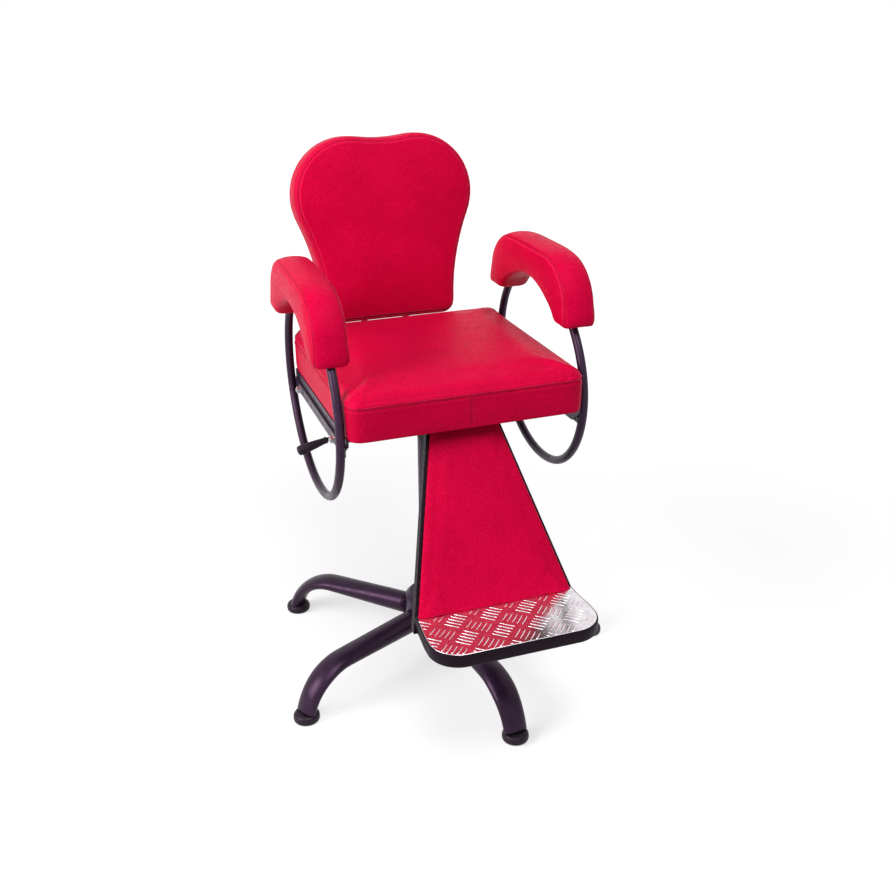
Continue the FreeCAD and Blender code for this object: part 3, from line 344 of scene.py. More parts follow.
def lathe(name, profile, matrix, mat, sides=48):
    """A turned piece about the matrix's Z axis from (radius, height) corners in mm."""
    loops = []
    for radius, height in profile:
        loops.append([matrix @ (MM * Vector((radius * math.cos(math.tau * k / sides),
                                             radius * math.sin(math.tau * k / sides), height)))
                      for k in range(sides)])
    verts, faces = bridge(loops)
    return mesh_object(name, verts, faces, mat)


def dressed(obj, body, slot, *nodes):
    """Puts a piece on a body and hides the nodes that it stands for; the slot is not used."""
    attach(obj, body)
    if nodes:
        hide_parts(*nodes)
    return obj


# Shapes shared with the CAD model: lengths in mm, angles in degrees, arcs as centre y, centre z, radius

SEAT_FRONT, SEAT_BACK, SEAT_BOTTOM, SEAT_THICK = -223.7, 205, 583.5, 88
SEAT_HALF, SEAT_CORNER, SEAT_SEAM = 215, 25, 641
RING_X, RING_TUBE, RING_TOP = 224.2, 8, 775
RING_ARC = (13.84, 564.1, 214.22)
PAD_ARCH, PAD_REAR_SHOULDER, PAD_FRONT_SHOULDER = (5, 613, 164), (95, 745, 90), (-73, 740, 95)
PAD_FRONT, PAD_REAR, PAD_BOTTOM = -168, 185, 717
PAD_HALF, PAD_CROWN, PAD_SLIP, PAD_LEAN = 34, 6, 13, 2.2
BACK_FOOT, BACK_LEAN, BACK_THICK, BACK_CORNER = (0, 217, 655), 7, 62, 23
BACK_FRAME = (Matrix.Translation([side * MM for side in BACK_FOOT])
              @ Matrix.Rotation(math.radians(-BACK_LEAN), 4, "X"))
TREAD_TOP, PANEL_TOP, PANEL_BASE, PANEL_SLOPE = 304.1, 581, -345.4, math.radians(30)
PANEL_FRAME = (Matrix.Translation((0, PANEL_BASE * MM, TREAD_TOP * MM))
               @ Matrix.Rotation(-PANEL_SLOPE, 4, "X"))
PANEL_LENGTH = (PANEL_TOP - TREAD_TOP) / math.cos(PANEL_SLOPE)
PANEL_HALF, PANEL_TOP_HALF = 146.1, 66.2
CALF_THICK, CALF_TAIL, CALF_MARGIN, CALF_CORNER = 10, 12, 4, 6
PIVOT_X, PIVOT_Z, LEVER_DROOP = -36, 548, 15.2
PIVOT = (Matrix.Translation((PIVOT_X * MM, 0, PIVOT_Z * MM))
         @ Matrix.Rotation(math.radians(-90 - LEVER_DROOP), 4, "Y"))


def soft_radius(radius, inset):
    """A corner radius that shrinks with the inset but never to nothing."""
    return max(radius - inset, radius / 4)


def seat_outline(inset):
    half = SEAT_HALF - inset
    low, high = SEAT_FRONT + inset, SEAT_BACK - inset
    corner = soft_radius(SEAT_CORNER, inset)
    near, far, wide = low + corner, high - corner, half - corner
    return outline([(wide, near, corner, -90, 0), (wide, far, corner, 0, 90),
                    (-wide, far, corner, 90, 180), (-wide, near, corner, 180, 270)])


def back_outline(inset):
    lobe, lobe_u, lobe_v, waist, lean, dip = 111, 69, 244, 465, 23.3, 315
    waist_u, waist_v = on_circle(lobe_u, lobe_v, lobe + waist, -lean)
    dip_v = lobe_v + math.sqrt((lobe + dip) ** 2 - lobe_u ** 2)
    corner = soft_radius(BACK_CORNER, inset)
    corner_v = inset + corner
    corner_u = waist_u - math.sqrt((waist + inset + corner) ** 2 - (corner_v - waist_v) ** 2)
    corner_end = math.degrees(math.atan2(waist_v - corner_v, waist_u - corner_u))
    lobe_end = math.degrees(math.atan2(dip_v - lobe_v, -lobe_u))
    side = [(corner_u, corner_v, corner, -90, corner_end),
            (waist_u, waist_v, waist + inset, 180 + corner_end, 180 - lean),
            (lobe_u, lobe_v, lobe - inset, -lean, lobe_end)]
    return outline(side + [(0, dip_v, dip + inset, lobe_end - 180, -lobe_end)] + mirrored(side))


def pad_pieces(inset):
    centre, height, arch = PAD_ARCH[0], PAD_ARCH[1], PAD_ARCH[2] + inset
    bottom = PAD_BOTTOM + inset
    reach = math.degrees(math.acos((bottom - height) / arch))
    rear_y, rear_z, rear_round = PAD_REAR_SHOULDER
    front_y, front_z, front_round = PAD_FRONT_SHOULDER
    return [(centre, height, arch, 90 + reach, 90 - reach), (PAD_REAR - inset, bottom),
            (rear_y, rear_z, rear_round - inset, 0, 90),
            (front_y, front_z, front_round - inset, 90, 180), (PAD_FRONT + inset, bottom)]


def pad_place(side, y, z):
    """The right pad sits lower on its tube and leans a little forwards."""
    if side > 0:
        return y, z
    turn = math.radians(PAD_LEAN)
    dy, dz = y - PAD_ARCH[0], z - RING_TOP
    return (PAD_ARCH[0] + dy * math.cos(turn) - dz * math.sin(turn),
            RING_TOP - PAD_SLIP + dy * math.sin(turn) + dz * math.cos(turn))


def rounded_top(points, low, blend, rounds):
    """The closed side view above low, with its shoulders and top run into one soft curve."""
    path = np.array(points)
    soft = path.copy()
    for _ in range(rounds):
        soft = (np.roll(soft, 1, axis=0) + 2 * soft + np.roll(soft, -1, axis=0)) / 4
    share = np.clip((path[:, 1] - low) / blend, 0, 1)[:, None]
    return [tuple(p) for p in path + (soft - path) * share]


def calf_outline(inset):
    """The calf cushion from under the tread's line to the top of the panel."""
    taper = (PANEL_HALF - PANEL_TOP_HALF) / PANEL_LENGTH
    lean = math.atan(taper)
    corner = soft_radius(CALF_CORNER, inset)
    low, high = inset + corner - CALF_TAIL, PANEL_LENGTH - CALF_MARGIN - inset - corner
    edge = PANEL_HALF - CALF_MARGIN - (inset + corner) / math.cos(lean)
    angle = math.degrees(lean)
    side = [(edge - taper * low, low, corner, -90, angle), (edge - taper * high, high, corner, angle, 90)]
    return outline(side + mirrored(side))


# Cushions: a closed shape, remeshed, blown up as cloth and drawn in at its seams

CLOTH_FRAMES = 20
HOLD_START, HOLD_REACH, HOLD_MOST = 1.3, 9, 0.9     # a seam's hold on the points beside it, over mm
GROOVE_WIDTH, LIP_PLACE, LIP_WIDTH = 2.3, 6, 3      # across a seam, in mm
SKIN_INSET, PAD_INSET, BACK_OUTSET = 0.3, 0.4, 2.6  # start shapes against the solids' outlines, in mm


class Cushion:
    def __init__(self, name, node, loops, matrix, voxel, swell, pin, seams):
        self.name, self.node, self.matrix, self.swell = name, node, matrix, swell
        self.seams = [[Vector(p) * MM for p in seam] for seam in seams]
        verts, faces = bridge([[Vector(p) * MM for p in loop] for loop in loops])
        self.obj = recalculated(mesh_object(name, verts, faces, MATERIALS["red_leather"]))
        remesh = self.obj.modifiers.new("remesh", "REMESH")
        remesh.mode = "VOXEL"
        remesh.voxel_size = voxel * MM
        soften = self.obj.modifiers.new("soften", "SMOOTH")
        soften.factor = 0.5
        soften.iterations = 4
        self.bake()
        self.start = self.points()
        self.tree = seam_tree(self.seams)
        near = np.array([self.tree.find(Vector(p))[2] for p in self.start]) / MM
        hold = np.clip(HOLD_START - near / HOLD_REACH, 0, HOLD_MOST)
        hold = np.maximum(hold, [pin(*(p / MM)) for p in self.start])
        group = self.obj.vertex_groups.new(name="held")
        for index in np.nonzero(hold > 0.01)[0]:
            group.add([int(index)], float(hold[index]), "REPLACE")

    def bake(self):
        """Applies the modifiers."""
        depsgraph = bpy.context.evaluated_depsgraph_get()
        mesh = bpy.data.meshes.new_from_object(self.obj.evaluated_get(depsgraph))
        self.obj.modifiers.clear()
        self.obj.data = mesh

    def points(self, mesh=None):
        mesh = mesh or self.obj.data
        spots = np.empty(len(mesh.vertices) * 3)
        mesh.vertices.foreach_get("co", spots)
        return spots.reshape(-1, 3)

    def normals(self):
        out = np.empty(len(self.obj.data.vertices) * 3)
        self.obj.data.vertices.foreach_get("normal", out)
        return out.reshape(-1, 3)

    def move(self, spots):
        self.obj.data.vertices.foreach_set("co", spots.reshape(-1))
        self.obj.data.update()

    def add_cloth(self):
        cloth = self.obj.modifiers.new("cloth", "CLOTH")
        cloth.settings.use_pressure = True
        cloth.settings.uniform_pressure_force = 4
        cloth.settings.vertex_group_mass = "held"
        cloth.settings.effector_weights.gravity = 0
        cloth.settings.quality = 4
        cloth.settings.tension_stiffness = 8
        cloth.settings.compression_stiffness = 8
        cloth.settings.bending_stiffness = 0.3
        cloth.collision_settings.use_collision = False
        cloth.point_cache.frame_start = 1
        cloth.point_cache.frame_end = CLOTH_FRAMES

    def take_cloth(self):
        """Keeps the blown-up shape, with the distance each point moved softly capped."""
        depsgraph = bpy.context.evaluated_depsgraph_get()
        blown = self.points(self.obj.evaluated_get(depsgraph).data)
        way = blown - self.start
        length = np.linalg.norm(way, axis=1, keepdims=True)
        cap = self.swell * MM
        self.obj.modifiers.clear()
        self.move(self.start + way / np.maximum(length, 1e-9) * cap * np.tanh(length / cap))

    def finish(self, shape=None, groove=1.3, lip=0.5):
        """One subdivision, then the seams' grooves with a soft lip at each side."""
        divide = self.obj.modifiers.new("divide", "SUBSURF")
        divide.levels = 1
        self.bake()
        spots, normals = self.points(), self.normals()
        near = np.array([self.tree.find(Vector(p))[2] for p in spots]) / MM
        depth = (lip * np.exp(-((near - LIP_PLACE) / LIP_WIDTH) ** 2)
                 - groove * np.exp(-(near / GROOVE_WIDTH) ** 2))
        spots = spots + normals * depth[:, None] * MM
        if shape is not None:
            spots = shape(spots / MM, normals) * MM
        self.move(spots)
        self.obj.data.transform(self.matrix)
        self.obj.data.polygons.foreach_set("use_smooth", [True] * len(self.obj.data.polygons))
        self.obj.data.update()
        mesh = self.obj.data
        self.skin = BVHTree.FromPolygons([v.co for v in mesh.vertices], [p.vertices for p in mesh.polygons])
        dressed(self.obj, "seat", "red_leather", self.node)


def seam_tree(seams):
    """A search tree over points every millimetre along the seams."""
    dense = []
    for seam in seams:
        length = sum((b - a).length for a, b in zip(seam, seam[1:]))
        dense += resampled([tuple(p) for p in seam], max(2, int(length / MM)), closed=False)
    tree = KDTree(max(1, len(dense)))
    for index, point in enumerate(dense):
        tree.insert(point, index)
    if not dense:
        tree.insert((9, 9, 9), 0)
    tree.balance()
    return tree


def lifted(points, height):
    return [(u, v, height) for u, v in points]


def seat_loops():
    shares = ((-0.09, 0.02), (0, 0.014), (0.05, 0.006), (0.14, 0), (0.3, 0), (0.6, 0), (0.7, 0.003),
              (0.78, 0.02), (0.84, 0.05), (0.885, 0.1), (0.925, 0.21), (0.955, 0.42), (0.972, 0.85),
              (0.98, 1.4))
    loops = []
    for height, inset in shares:
        ring = resampled(seat_outline(inset * SEAT_THICK + SKIN_INSET), 260)
        loops.append(lifted(ring, SEAT_BOTTOM + height * SEAT_THICK))
    return loops


def back_loops():
    shares = ((1.07, 0.05), (1, 0.035), (0.94, 0.006), (0.83, 0), (0.36, 0), (0.24, 0.016), (0.15, 0.06),
              (0.09, 0.13), (0.04, 0.27), (0.0, 0.55), (-0.03, 0.9), (-0.06, 1.4))
    loops = []
    for depth, inset in shares:
        ring = resampled(back_outline(inset * BACK_THICK - BACK_OUTSET), 260)
        loops.append([(u, depth * BACK_THICK, v) for u, v in ring])
    return loops


def pad_loops(side):
    """The arched pad with soft long edges and a crown over its outer face."""
    shares = ((0, 0.2), (0.012, 0.14), (0.035, 0.09), (0.075, 0.048), (0.13, 0.02), (0.21, 0.005),
              (0.33, 0), (0.5, 0))
    shares += tuple((1 - across, inset) for across, inset in reversed(shares[:-1]))
    centre_y, centre_z, arch = PAD_ARCH
    crown_start = 40
    loops = []
    for across, inset in shares:
        crown = PAD_CROWN * (1 - (2 * across - 1) ** 2)
        x = side * RING_X + (across - 0.5) * (2 * PAD_HALF - PAD_INSET)
        loop = []
        ring = resampled(outline(pad_pieces(inset * 2 * PAD_HALF + PAD_INSET)), 220)
        for u, v in rounded_top(ring, low=PAD_BOTTOM + 15, blend=25, rounds=120):
            reach = math.hypot(u - centre_y, v - centre_z)
            lift = crown * min(max((reach - arch) / crown_start, 0), 1) / reach
            loop.append((x, *pad_place(side, u + (u - centre_y) * lift, v + (v - centre_z) * lift)))
        loops.append(loop)
    return loops


def calf_loops():
    shares = ((1, 0.08), (0.7, 0.0), (0.4, 0.03), (0.16, 0.25), (0.03, 0.8), (-0.04, 3))
    loops = []
    for depth, inset in shares:
        ring = resampled(calf_outline(inset * CALF_THICK + SKIN_INSET), 200)
        loops.append([(u, depth * CALF_THICK, v) for u, v in ring])
    return loops


seat_seam = lifted(resampled(seat_outline(1), 300), SEAT_SEAM)
seat_seam.append(seat_seam[0])
front_seam = [(0, SEAT_FRONT + 2, z) for z in range(588, 642, 2)]
back_rim = resampled(back_outline(5), 260)
back_seam = [(u, 6.5, v) for u, v in back_rim + back_rim[:1]]
cushions = {}
cushions["seat"] = Cushion("seat_pad", "seat_cushion", seat_loops(), Matrix.Identity(4), voxel=5, swell=3.6,
                           pin=lambda x, y, z: 1.0 if z < SEAT_BOTTOM + 7 else 0.0,
                           seams=[seat_seam, front_seam])
cushions["back"] = Cushion("back_pad", "back_cushion", back_loops(), BACK_FRAME, voxel=5, swell=4.0,
                           pin=lambda x, y, z: 1.0 if y > BACK_THICK - 7 else 0.0, seams=[back_seam])
pad_seams = {}
for side, label in ((1, "left"), (-1, "right")):
    rim = outline(pad_pieces(3.4)[1:])
    rim = [pad_place(side, u, v) for u, v in resampled(rim, 200, closed=False)]
    pad_seams[label] = [[(side * RING_X + edge * (PAD_HALF - 4), u, v) for u, v in rim] for edge in (-1, 1)]

    def under(x, y, z, arch=pad_place(side, *PAD_ARCH[:2]), side=side):
        """Held where the pad sits on the tube and along the arch."""
        hem = pad_place(side, y, PAD_BOTTOM + 4)[1]
        return 0.9 if math.hypot(y - arch[0], z - arch[1]) < PAD_ARCH[2] + 5 or z < hem else 0.0

    cushions[label] = Cushion(f"arm_cushion_{label}", f"arm_pad_{label}", pad_loops(side), Matrix.Identity(4),
                              voxel=4.2, swell=4.5, pin=under, seams=pad_seams[label])
cushions["calf"] = Cushion("calf_cushion", "calf_pad", calf_loops(), PANEL_FRAME, voxel=3.4, swell=1.4,
                           pin=lambda x, y, z: 1.0 if y > CALF_THICK * 0.55 else 0.0, seams=[])

for cushion in cushions.values():
    cushion.add_cloth()
for step in range(1, CLOTH_FRAMES + 1):
    scene.frame_set(step)
for cushion in cushions.values():
    cushion.take_cloth()
scene.frame_set(1)


def seat_shape(spots, normals):
    """Drawn folds at the front corners, a full rear edge and no bulge past the arm tubes."""
    fold_centre, fold_reach, fold_width, fold_level, fold_height, fold_depth = 34, 22, 17, 656, 14, 0.45
    for corner in (-1, 1):
        du = spots[:, 0] - corner * (SEAT_HALF - fold_centre)
        dv = spots[:, 1] - (SEAT_FRONT + fold_centre)
        reach = np.hypot(du, dv)
        angle = np.arctan2(-dv, corner * du)
        fold = np.cos(angle * 9 + 0.6) * np.exp(-((reach - fold_reach) / fold_width) ** 2)
        fold *= np.exp(-((spots[:, 2] - fold_level) / fold_height) ** 2)
        spots[:, 2] += fold_depth * fold
    rear_start, rear_low, rear_rise, rear_out, rear_up = 90, 620, 40, 2.5, 4
    rear = np.clip((spots[:, 1] - rear_start) / (SEAT_BACK - rear_start), 0, 1) ** 2
    high = np.clip((spots[:, 2] - rear_low) / rear_rise, 0, 1)
    spots[:, 1] += rear_out * rear * high
    spots[:, 2] += rear_up * rear * high
    limit = SEAT_HALF + 0.5
    spots[:, 0] = np.clip(spots[:, 0], -limit, limit)
    spots[:, 2] = np.maximum(spots[:, 2], SEAT_BOTTOM + 0.1)
    return spots


def back_shape(spots, normals):
    """A full lower edge, and flat at the rear in the plane of the board."""
    drop, reach = 1.3, 60
    spots[:, 2] -= drop * np.clip(1 - spots[:, 2] / reach, 0, 1) ** 2
    spots[:, 1] = np.minimum(spots[:, 1], BACK_THICK - 0.1)
    return spots


def pad_shape(side):
    def shape(spots, normals):
        """Corners of the front hem roll down, and the tube lies in a channel."""
        across = (spots[:, 0] - side * RING_X) / PAD_HALF
        hem_y, hem_high, hem_start, hem_length, hem_drop = -160, 14, -140, 20, 2.4
        hem = np.clip((pad_place(side, hem_y, PAD_BOTTOM)[1] + hem_high - spots[:, 2]) / hem_high, 0, 1)
        hem *= np.clip((hem_start - spots[:, 1]) / hem_length, 0, 1)
        spots[:, 2] -= hem_drop * hem * across ** 2
        centre_y, centre_z, radius = RING_ARC
        dy, dz = spots[:, 1] - centre_y, spots[:, 2] - centre_z
        reach = np.hypot(dy, dz)
        out = reach - radius
        dx = spots[:, 0] - side * RING_X
        gap = np.hypot(dx, out)
        wide, channel_low = RING_TUBE + 0.6, 60
        push = np.where((gap < wide) & (dz > channel_low), wide / np.maximum(gap, 0.5), 1.0)
        spots[:, 0] = side * RING_X + dx * push
        new_reach = radius + out * push
        spots[:, 1] = centre_y + dy / reach * new_reach
        spots[:, 2] = centre_z + dz / reach * new_reach
        return spots
    return shape


def calf_shape(spots, normals):
    """Nothing below the tread and nothing past the board's face."""
    spots[:, 1] = np.minimum(spots[:, 1], CALF_THICK - 0.1)
    floor = (0.35 + spots[:, 1] * math.sin(PANEL_SLOPE)) / math.cos(PANEL_SLOPE)
    spots[:, 2] = np.maximum(spots[:, 2], floor)
    return spots


cushions["seat"].finish(seat_shape)
cushions["back"].finish(back_shape)
cushions["left"].finish(pad_shape(1))
cushions["right"].finish(pad_shape(-1))
cushions["calf"].finish(calf_shape)


# Seams and stitches

def run_of(path, matrix):
    return [matrix @ (Vector(p) * MM) for p in path]


def stitch_row(path, skin, aside, pitch, length, thick, rise=0.15):
    """Small thread loops on a skin, beside a seam. Sizes in mm."""
    total = sum((b - a).length for a, b in zip(path, path[1:])) / MM
    spots = [Vector(p) for p in resampled([tuple(p) for p in path], max(2, int(total / pitch)), closed=False)]
    verts, faces = [], []
    sides, rings = 6, 5
    for before, here, after in zip(spots, spots[1:], spots[2:]):
        tangent = (after - before).normalized()
        place, normal = skin.find_nearest(here)[:2]
        across = tangent.cross(normal).normalized()
        place, normal = skin.find_nearest(place + across * aside * MM)[:2]
        tangent = (tangent - normal * tangent.dot(normal)).normalized()
        across = tangent.cross(normal)
        base = len(verts)
        for ring in range(rings):
            share = ring / (rings - 1) * 2 - 1
            girth = max(0.12, math.sqrt(max(0, 1 - share ** 4))) * thick
            height = rise - 0.9 * thick * share ** 2
            middle = place + tangent * share * length / 2 * MM + normal * height * MM
            for k in range(sides):
                turn = math.tau * k / sides
                verts.append(middle + (across * math.cos(turn) + normal * math.sin(turn)) * girth * MM)
        for ring in range(rings - 1):
            for k in range(sides):
                low, high = base + ring * sides, base + (ring + 1) * sides
                faces.append((low + k, low + (k + 1) % sides, high + (k + 1) % sides, high + k))
        faces.append(tuple(base + k for k in reversed(range(sides))))
        faces.append(tuple(base + (rings - 1) * sides + k for k in range(sides)))
    return verts, faces


def stitches(name, rows, mat):
    """Several rows joined in one piece."""
    verts, faces = [], []
    for row_verts, row_faces in rows:
        base = len(verts)
        verts += row_verts
        faces += [tuple(index + base for index in face) for face in row_faces]
    return dressed(mesh_object(name, verts, faces, mat), "seat", "red_leather")


def seam_line(name, path, skin, radius=0.42):
    """The dark join at the bottom of a seam's groove."""
    spots = []
    for point in resampled([tuple(p) for p in path], max(8, len(path)), closed=False):
        place, normal = skin.find_nearest(Vector(point))[:2]
        spots.append(place + normal * radius * 0.35 * MM)
    return dressed(sweep(name, spots, radius * MM, THREAD_DARK, 6), "seat", "red_leather")


seat_skin = cushions["seat"].skin
still = Matrix.Identity(4)
seat_path = run_of(seat_seam, still)
front_path = run_of(front_seam, still)
seam_line("seat_seam", seat_path, seat_skin)
seam_line("seat_front_seam", front_path, seat_skin)
front_rows = [stitch_row(front_path, seat_skin, aside, pitch=4.4, length=3.6, thick=0.6)
              for aside in (-4.6, 4.6)]
stitches("seat_stitches_dark",
         [stitch_row(seat_path, seat_skin, 4.4, pitch=4.6, length=3.2, thick=0.42)] + front_rows, THREAD_DARK)
# The pale row beside the seam is a painted highlight along its fold; the dark rows are the thread.
stitches("seat_stitches_painted_highlight",
         [stitch_row(seat_path, seat_skin, -4, pitch=4.6, length=3.2, thick=0.4)], PALE_THREAD_AND_PAINTED_HIGHLIGHT)
back_path = run_of(back_seam, BACK_FRAME)
seam_line("back_seam", back_path, cushions["back"].skin)
welt = [(u, BACK_THICK - 1.2, v) for u, v in resampled(back_outline(3.5), 200)]
dressed(sweep("back_welt", run_of(welt, BACK_FRAME), 1.4 * MM, MATERIALS["red_leather"], closed=True),
        "seat", "red_leather")
stitches("back_stitches",
         [stitch_row(back_path, cushions["back"].skin, aside, pitch=4.4, length=3.1, thick=0.4)
          for aside in (-3.6, 3.6)], PALE_THREAD_AND_PAINTED_HIGHLIGHT)
for label in ("left", "right"):
    skin = cushions[label].skin
    paths = [run_of(seam, still) for seam in pad_seams[label]]
    for place, path in zip(("inner", "outer"), paths):
        seam_line(f"arm_seam_{place}_{label}", path, skin)
    # Pale rows on one side of each seam are a painted highlight along the fold; the dark rows are the thread.
    for shade, thread, aside in (("light", PALE_THREAD_AND_PAINTED_HIGHLIGHT, 3.2), ("dark", THREAD_DARK, -3.2)):
        rows = [stitch_row(path, skin, turn * aside, pitch=4.2, length=3.0, thick=0.38)
                for path, turn in zip(paths, (1, -1))]
        stitches(f"arm_stitches_{shade}_{label}", rows, thread)


# Legs with a smooth bend, on round glides

LEG_COUNT, LEG_HEIGHT, FOOT_CIRCLE, FIRST_LEG = 5, 92, 336.5, -82.4
LEG_ROOT, LEG_BEND, LEG_BEND_ANGLE, FOOT_HEIGHT = 52, 100, 70, 18
# width and depth of the section at the hub, past the bend's start, and at the foot
ROOT_SECTION, BEND_SECTION, FOOT_SECTION = (44, 44), (52, 26), (47, 24)
WELD_RADIUS, WELD_REACH, WELD_HALF = 1.6, 54.6, 22.4


def eased(share):
    share = min(max(share, 0), 1)
    return share * share * (3 - 2 * share)


def leg_loops(sides=48):
    """Ellipse sections from inside the hub to the glide, in mm along +X."""
    turn = math.radians(LEG_BEND_ANGLE)
    drop = LEG_HEIGHT - LEG_BEND * (1 - math.cos(turn)) - FOOT_HEIGHT
    bend_start = FOOT_CIRCLE - LEG_BEND * math.sin(turn) - drop / math.tan(turn)
    straight_steps, bend_steps = 12, 18
    rows = []
    for step in range(straight_steps):
        share = step / straight_steps
        rows.append((Vector((LEG_ROOT + (bend_start - LEG_ROOT) * share, 0, LEG_HEIGHT)), 0, share))
    for step in range(bend_steps + 1):
        lean = turn * step / bend_steps
        fall = LEG_BEND * (1 - math.cos(lean))
        spot = Vector((bend_start + LEG_BEND * math.sin(lean), 0, LEG_HEIGHT - fall))
        rows.append((spot, lean, 1 + step / bend_steps))
    along = Vector((math.cos(turn), 0, -math.sin(turn)))
    last = rows[-1][0]
    for step in (1, 2, 3):
        rows.append((last + along * (drop / math.sin(turn)) * step / 3.05, turn, 2))
    loops = []
    for spot, lean, run in rows:
        to_bend = np.interp(run, (0, 0.3, 0.6, 1, 1.2, 1.4), (0, 0.15, 0.4, 0.8, 0.95, 1))
        to_foot = eased((run - 1.35) / 0.65)
        width, depth = (root + to_bend * (bent - root) for root, bent in zip(ROOT_SECTION, BEND_SECTION))
        width += to_foot * (FOOT_SECTION[0] - width)
        depth += to_foot * (FOOT_SECTION[1] - depth)
        upright = Vector((math.sin(lean), 0, math.cos(lean)))
        loops.append([spot + Vector((0, 1, 0)) * width / 2 * math.cos(math.tau * k / sides)
                      + upright * depth / 2 * math.sin(math.tau * k / sides) for k in range(sides)])
    return loops


def weld_bead(name, angle):
    """A ripple of weld where a leg meets the drum."""
    steps = 96
    path = []
    for k in range(steps):
        turn = math.tau * k / steps
        y, z = WELD_HALF * math.cos(turn), LEG_HEIGHT + WELD_HALF * math.sin(turn)
        path.append(Vector((math.sqrt(WELD_REACH ** 2 - y ** 2), y, z)) * MM)
    bead = sweep(name, path, WELD_RADIUS * MM, MATERIALS["black_steel"], closed=True)
    bead.data.transform(Matrix.Rotation(math.radians(angle), 4, "Z"))
    return bead


GLIDE = [(0.5, 0), (19, 0), (21.4, 0.5), (23.5, 2), (24.7, 4.4), (25, 7), (25, 8.2), (24.4, 8.8), (24.4, 9.4),
         (24.9, 10), (24.7, 12), (23.9, 14.2), (22.5, 16), (20.6, 17.3), (18.4, 17.9), (0.5, 18)]
for index in range(LEG_COUNT):
    angle = FIRST_LEG + 360 / LEG_COUNT * index
    turn = Matrix.Rotation(math.radians(angle), 4, "Z")
    verts, faces = bridge([[turn @ (p * MM) for p in loop] for loop in leg_loops()])
    leg = mesh_object(f"leg_shell_{index + 1}", verts, faces, MATERIALS["black_steel"])
    dressed(leg, "base", "black_steel", f"base_leg_{index + 1}")
    dressed(weld_bead(f"leg_weld_{index + 1}", angle), "base", "black_steel")
    at = Matrix.Translation(turn @ Vector((FOOT_CIRCLE * MM, 0, 0)))
    glide = lathe(f"glide_{index + 1}", GLIDE, at, MATERIALS["black_plastic"])
    dressed(glide, "base", "black_plastic", f"foot_glide_{index + 1}")


# Lever grip

GRIP = [(0.5, 172), (5.4, 172), (6.4, 172.6), (6.6, 174), (6.2, 176), (5.9, 179), (6.4, 184), (7.4, 192),
        (8.3, 202), (9.0, 212), (9.4, 219), (9.5, 223), (9.2, 226.5), (8.2, 229), (6.2, 230.4), (3.4, 231),
        (0.5, 231.1)]
grip = lathe("lever_handle", GRIP, PIVOT, MATERIALS["black_plastic"])
divide = grip.modifiers.new("divide", "SUBSURF")
divide.levels = divide.render_levels = 1
dressed(grip, "lever", "black_plastic", "lever_grip")


# Footplate with a rounded edge, tread with raised bars in groups of five

FOOT_HALF, FOOT_FRONT, FOOT_CORNER, PLATE_LOW = 150, -468.6, 52, TREAD_TOP - 24


def foot_loop(inset, height):
    """The footplate's outline at a height, cut off along the panel board's face."""
    half, corner = FOOT_HALF - inset, FOOT_CORNER - inset
    back = PANEL_BASE + CALF_THICK / math.cos(PANEL_SLOPE) + (height - TREAD_TOP) * math.tan(PANEL_SLOPE)
    side = [(half - corner, FOOT_FRONT + inset + corner, corner, -90, 0),
            (half, FOOT_FRONT + FOOT_CORNER + 20),
            (PANEL_HALF - inset, PANEL_BASE - 10), (PANEL_HALF - inset, back)]
    return [Vector((u, v, height)) * MM for u, v in outline(side + mirrored(side))]


def plate_piece(name, rows, mat, slot, node):
    verts, faces = bridge([foot_loop(inset, PLATE_LOW + height) for inset, height in rows])
    plate = recalculated(mesh_object(name, verts, faces, mat))
    plate.data.polygons.foreach_set("use_smooth", [len(p.vertices) == 4 for p in plate.data.polygons])
    return dressed(plate, "seat", slot, node)


# inset and height of each section; the board's lip hides the sheet's edge
BOARD_EDGE = [(3.4, 0), (1.6, 0.5), (0.5, 1.7), (0, 3.6), (0, 19.6), (0.3, 21.6), (0.9, 23), (1.7, 23.6),
              (2.4, 23.5), (2.6, 22)]
SHEET_EDGE = [(2.7, 22), (2.7, 23.4), (2.9, 23.85), (3.5, 24)]
plate_piece("foot_board", BOARD_EDGE, MATERIALS["black_board"], "black_board", "footplate_board")
plate_piece("tread_sheet", SHEET_EDGE, MATERIALS["tread_aluminium"], "tread_aluminium", "tread_plate")


def inside_tread(x, y):
    """How far a point lies inside the tread's outline, in mm."""
    taper = max(0, y - FOOT_FRONT - FOOT_CORNER) / (PANEL_BASE - FOOT_FRONT - FOOT_CORNER)
    side = FOOT_HALF - abs(x) - taper * (FOOT_HALF - PANEL_HALF)
    margin = min(PANEL_BASE + 3 - y, y - FOOT_FRONT, side)
    du, dv = abs(x) - (FOOT_HALF - FOOT_CORNER), (FOOT_FRONT + FOOT_CORNER) - y
    if du > 0 and dv > 0:
        margin = min(margin, FOOT_CORNER - math.hypot(du, dv))
    return margin


GROUP_PITCH, GROUP_START, GROUP_SLOPES = (32, 27), (12, -340), (49, -43)
BAR_PITCH, BAR_HALF, BAR_HALF_WIDTH, BAR_HEIGHT, BAR_MARGIN = 8.6, 14, 1.5, 0.9, 4


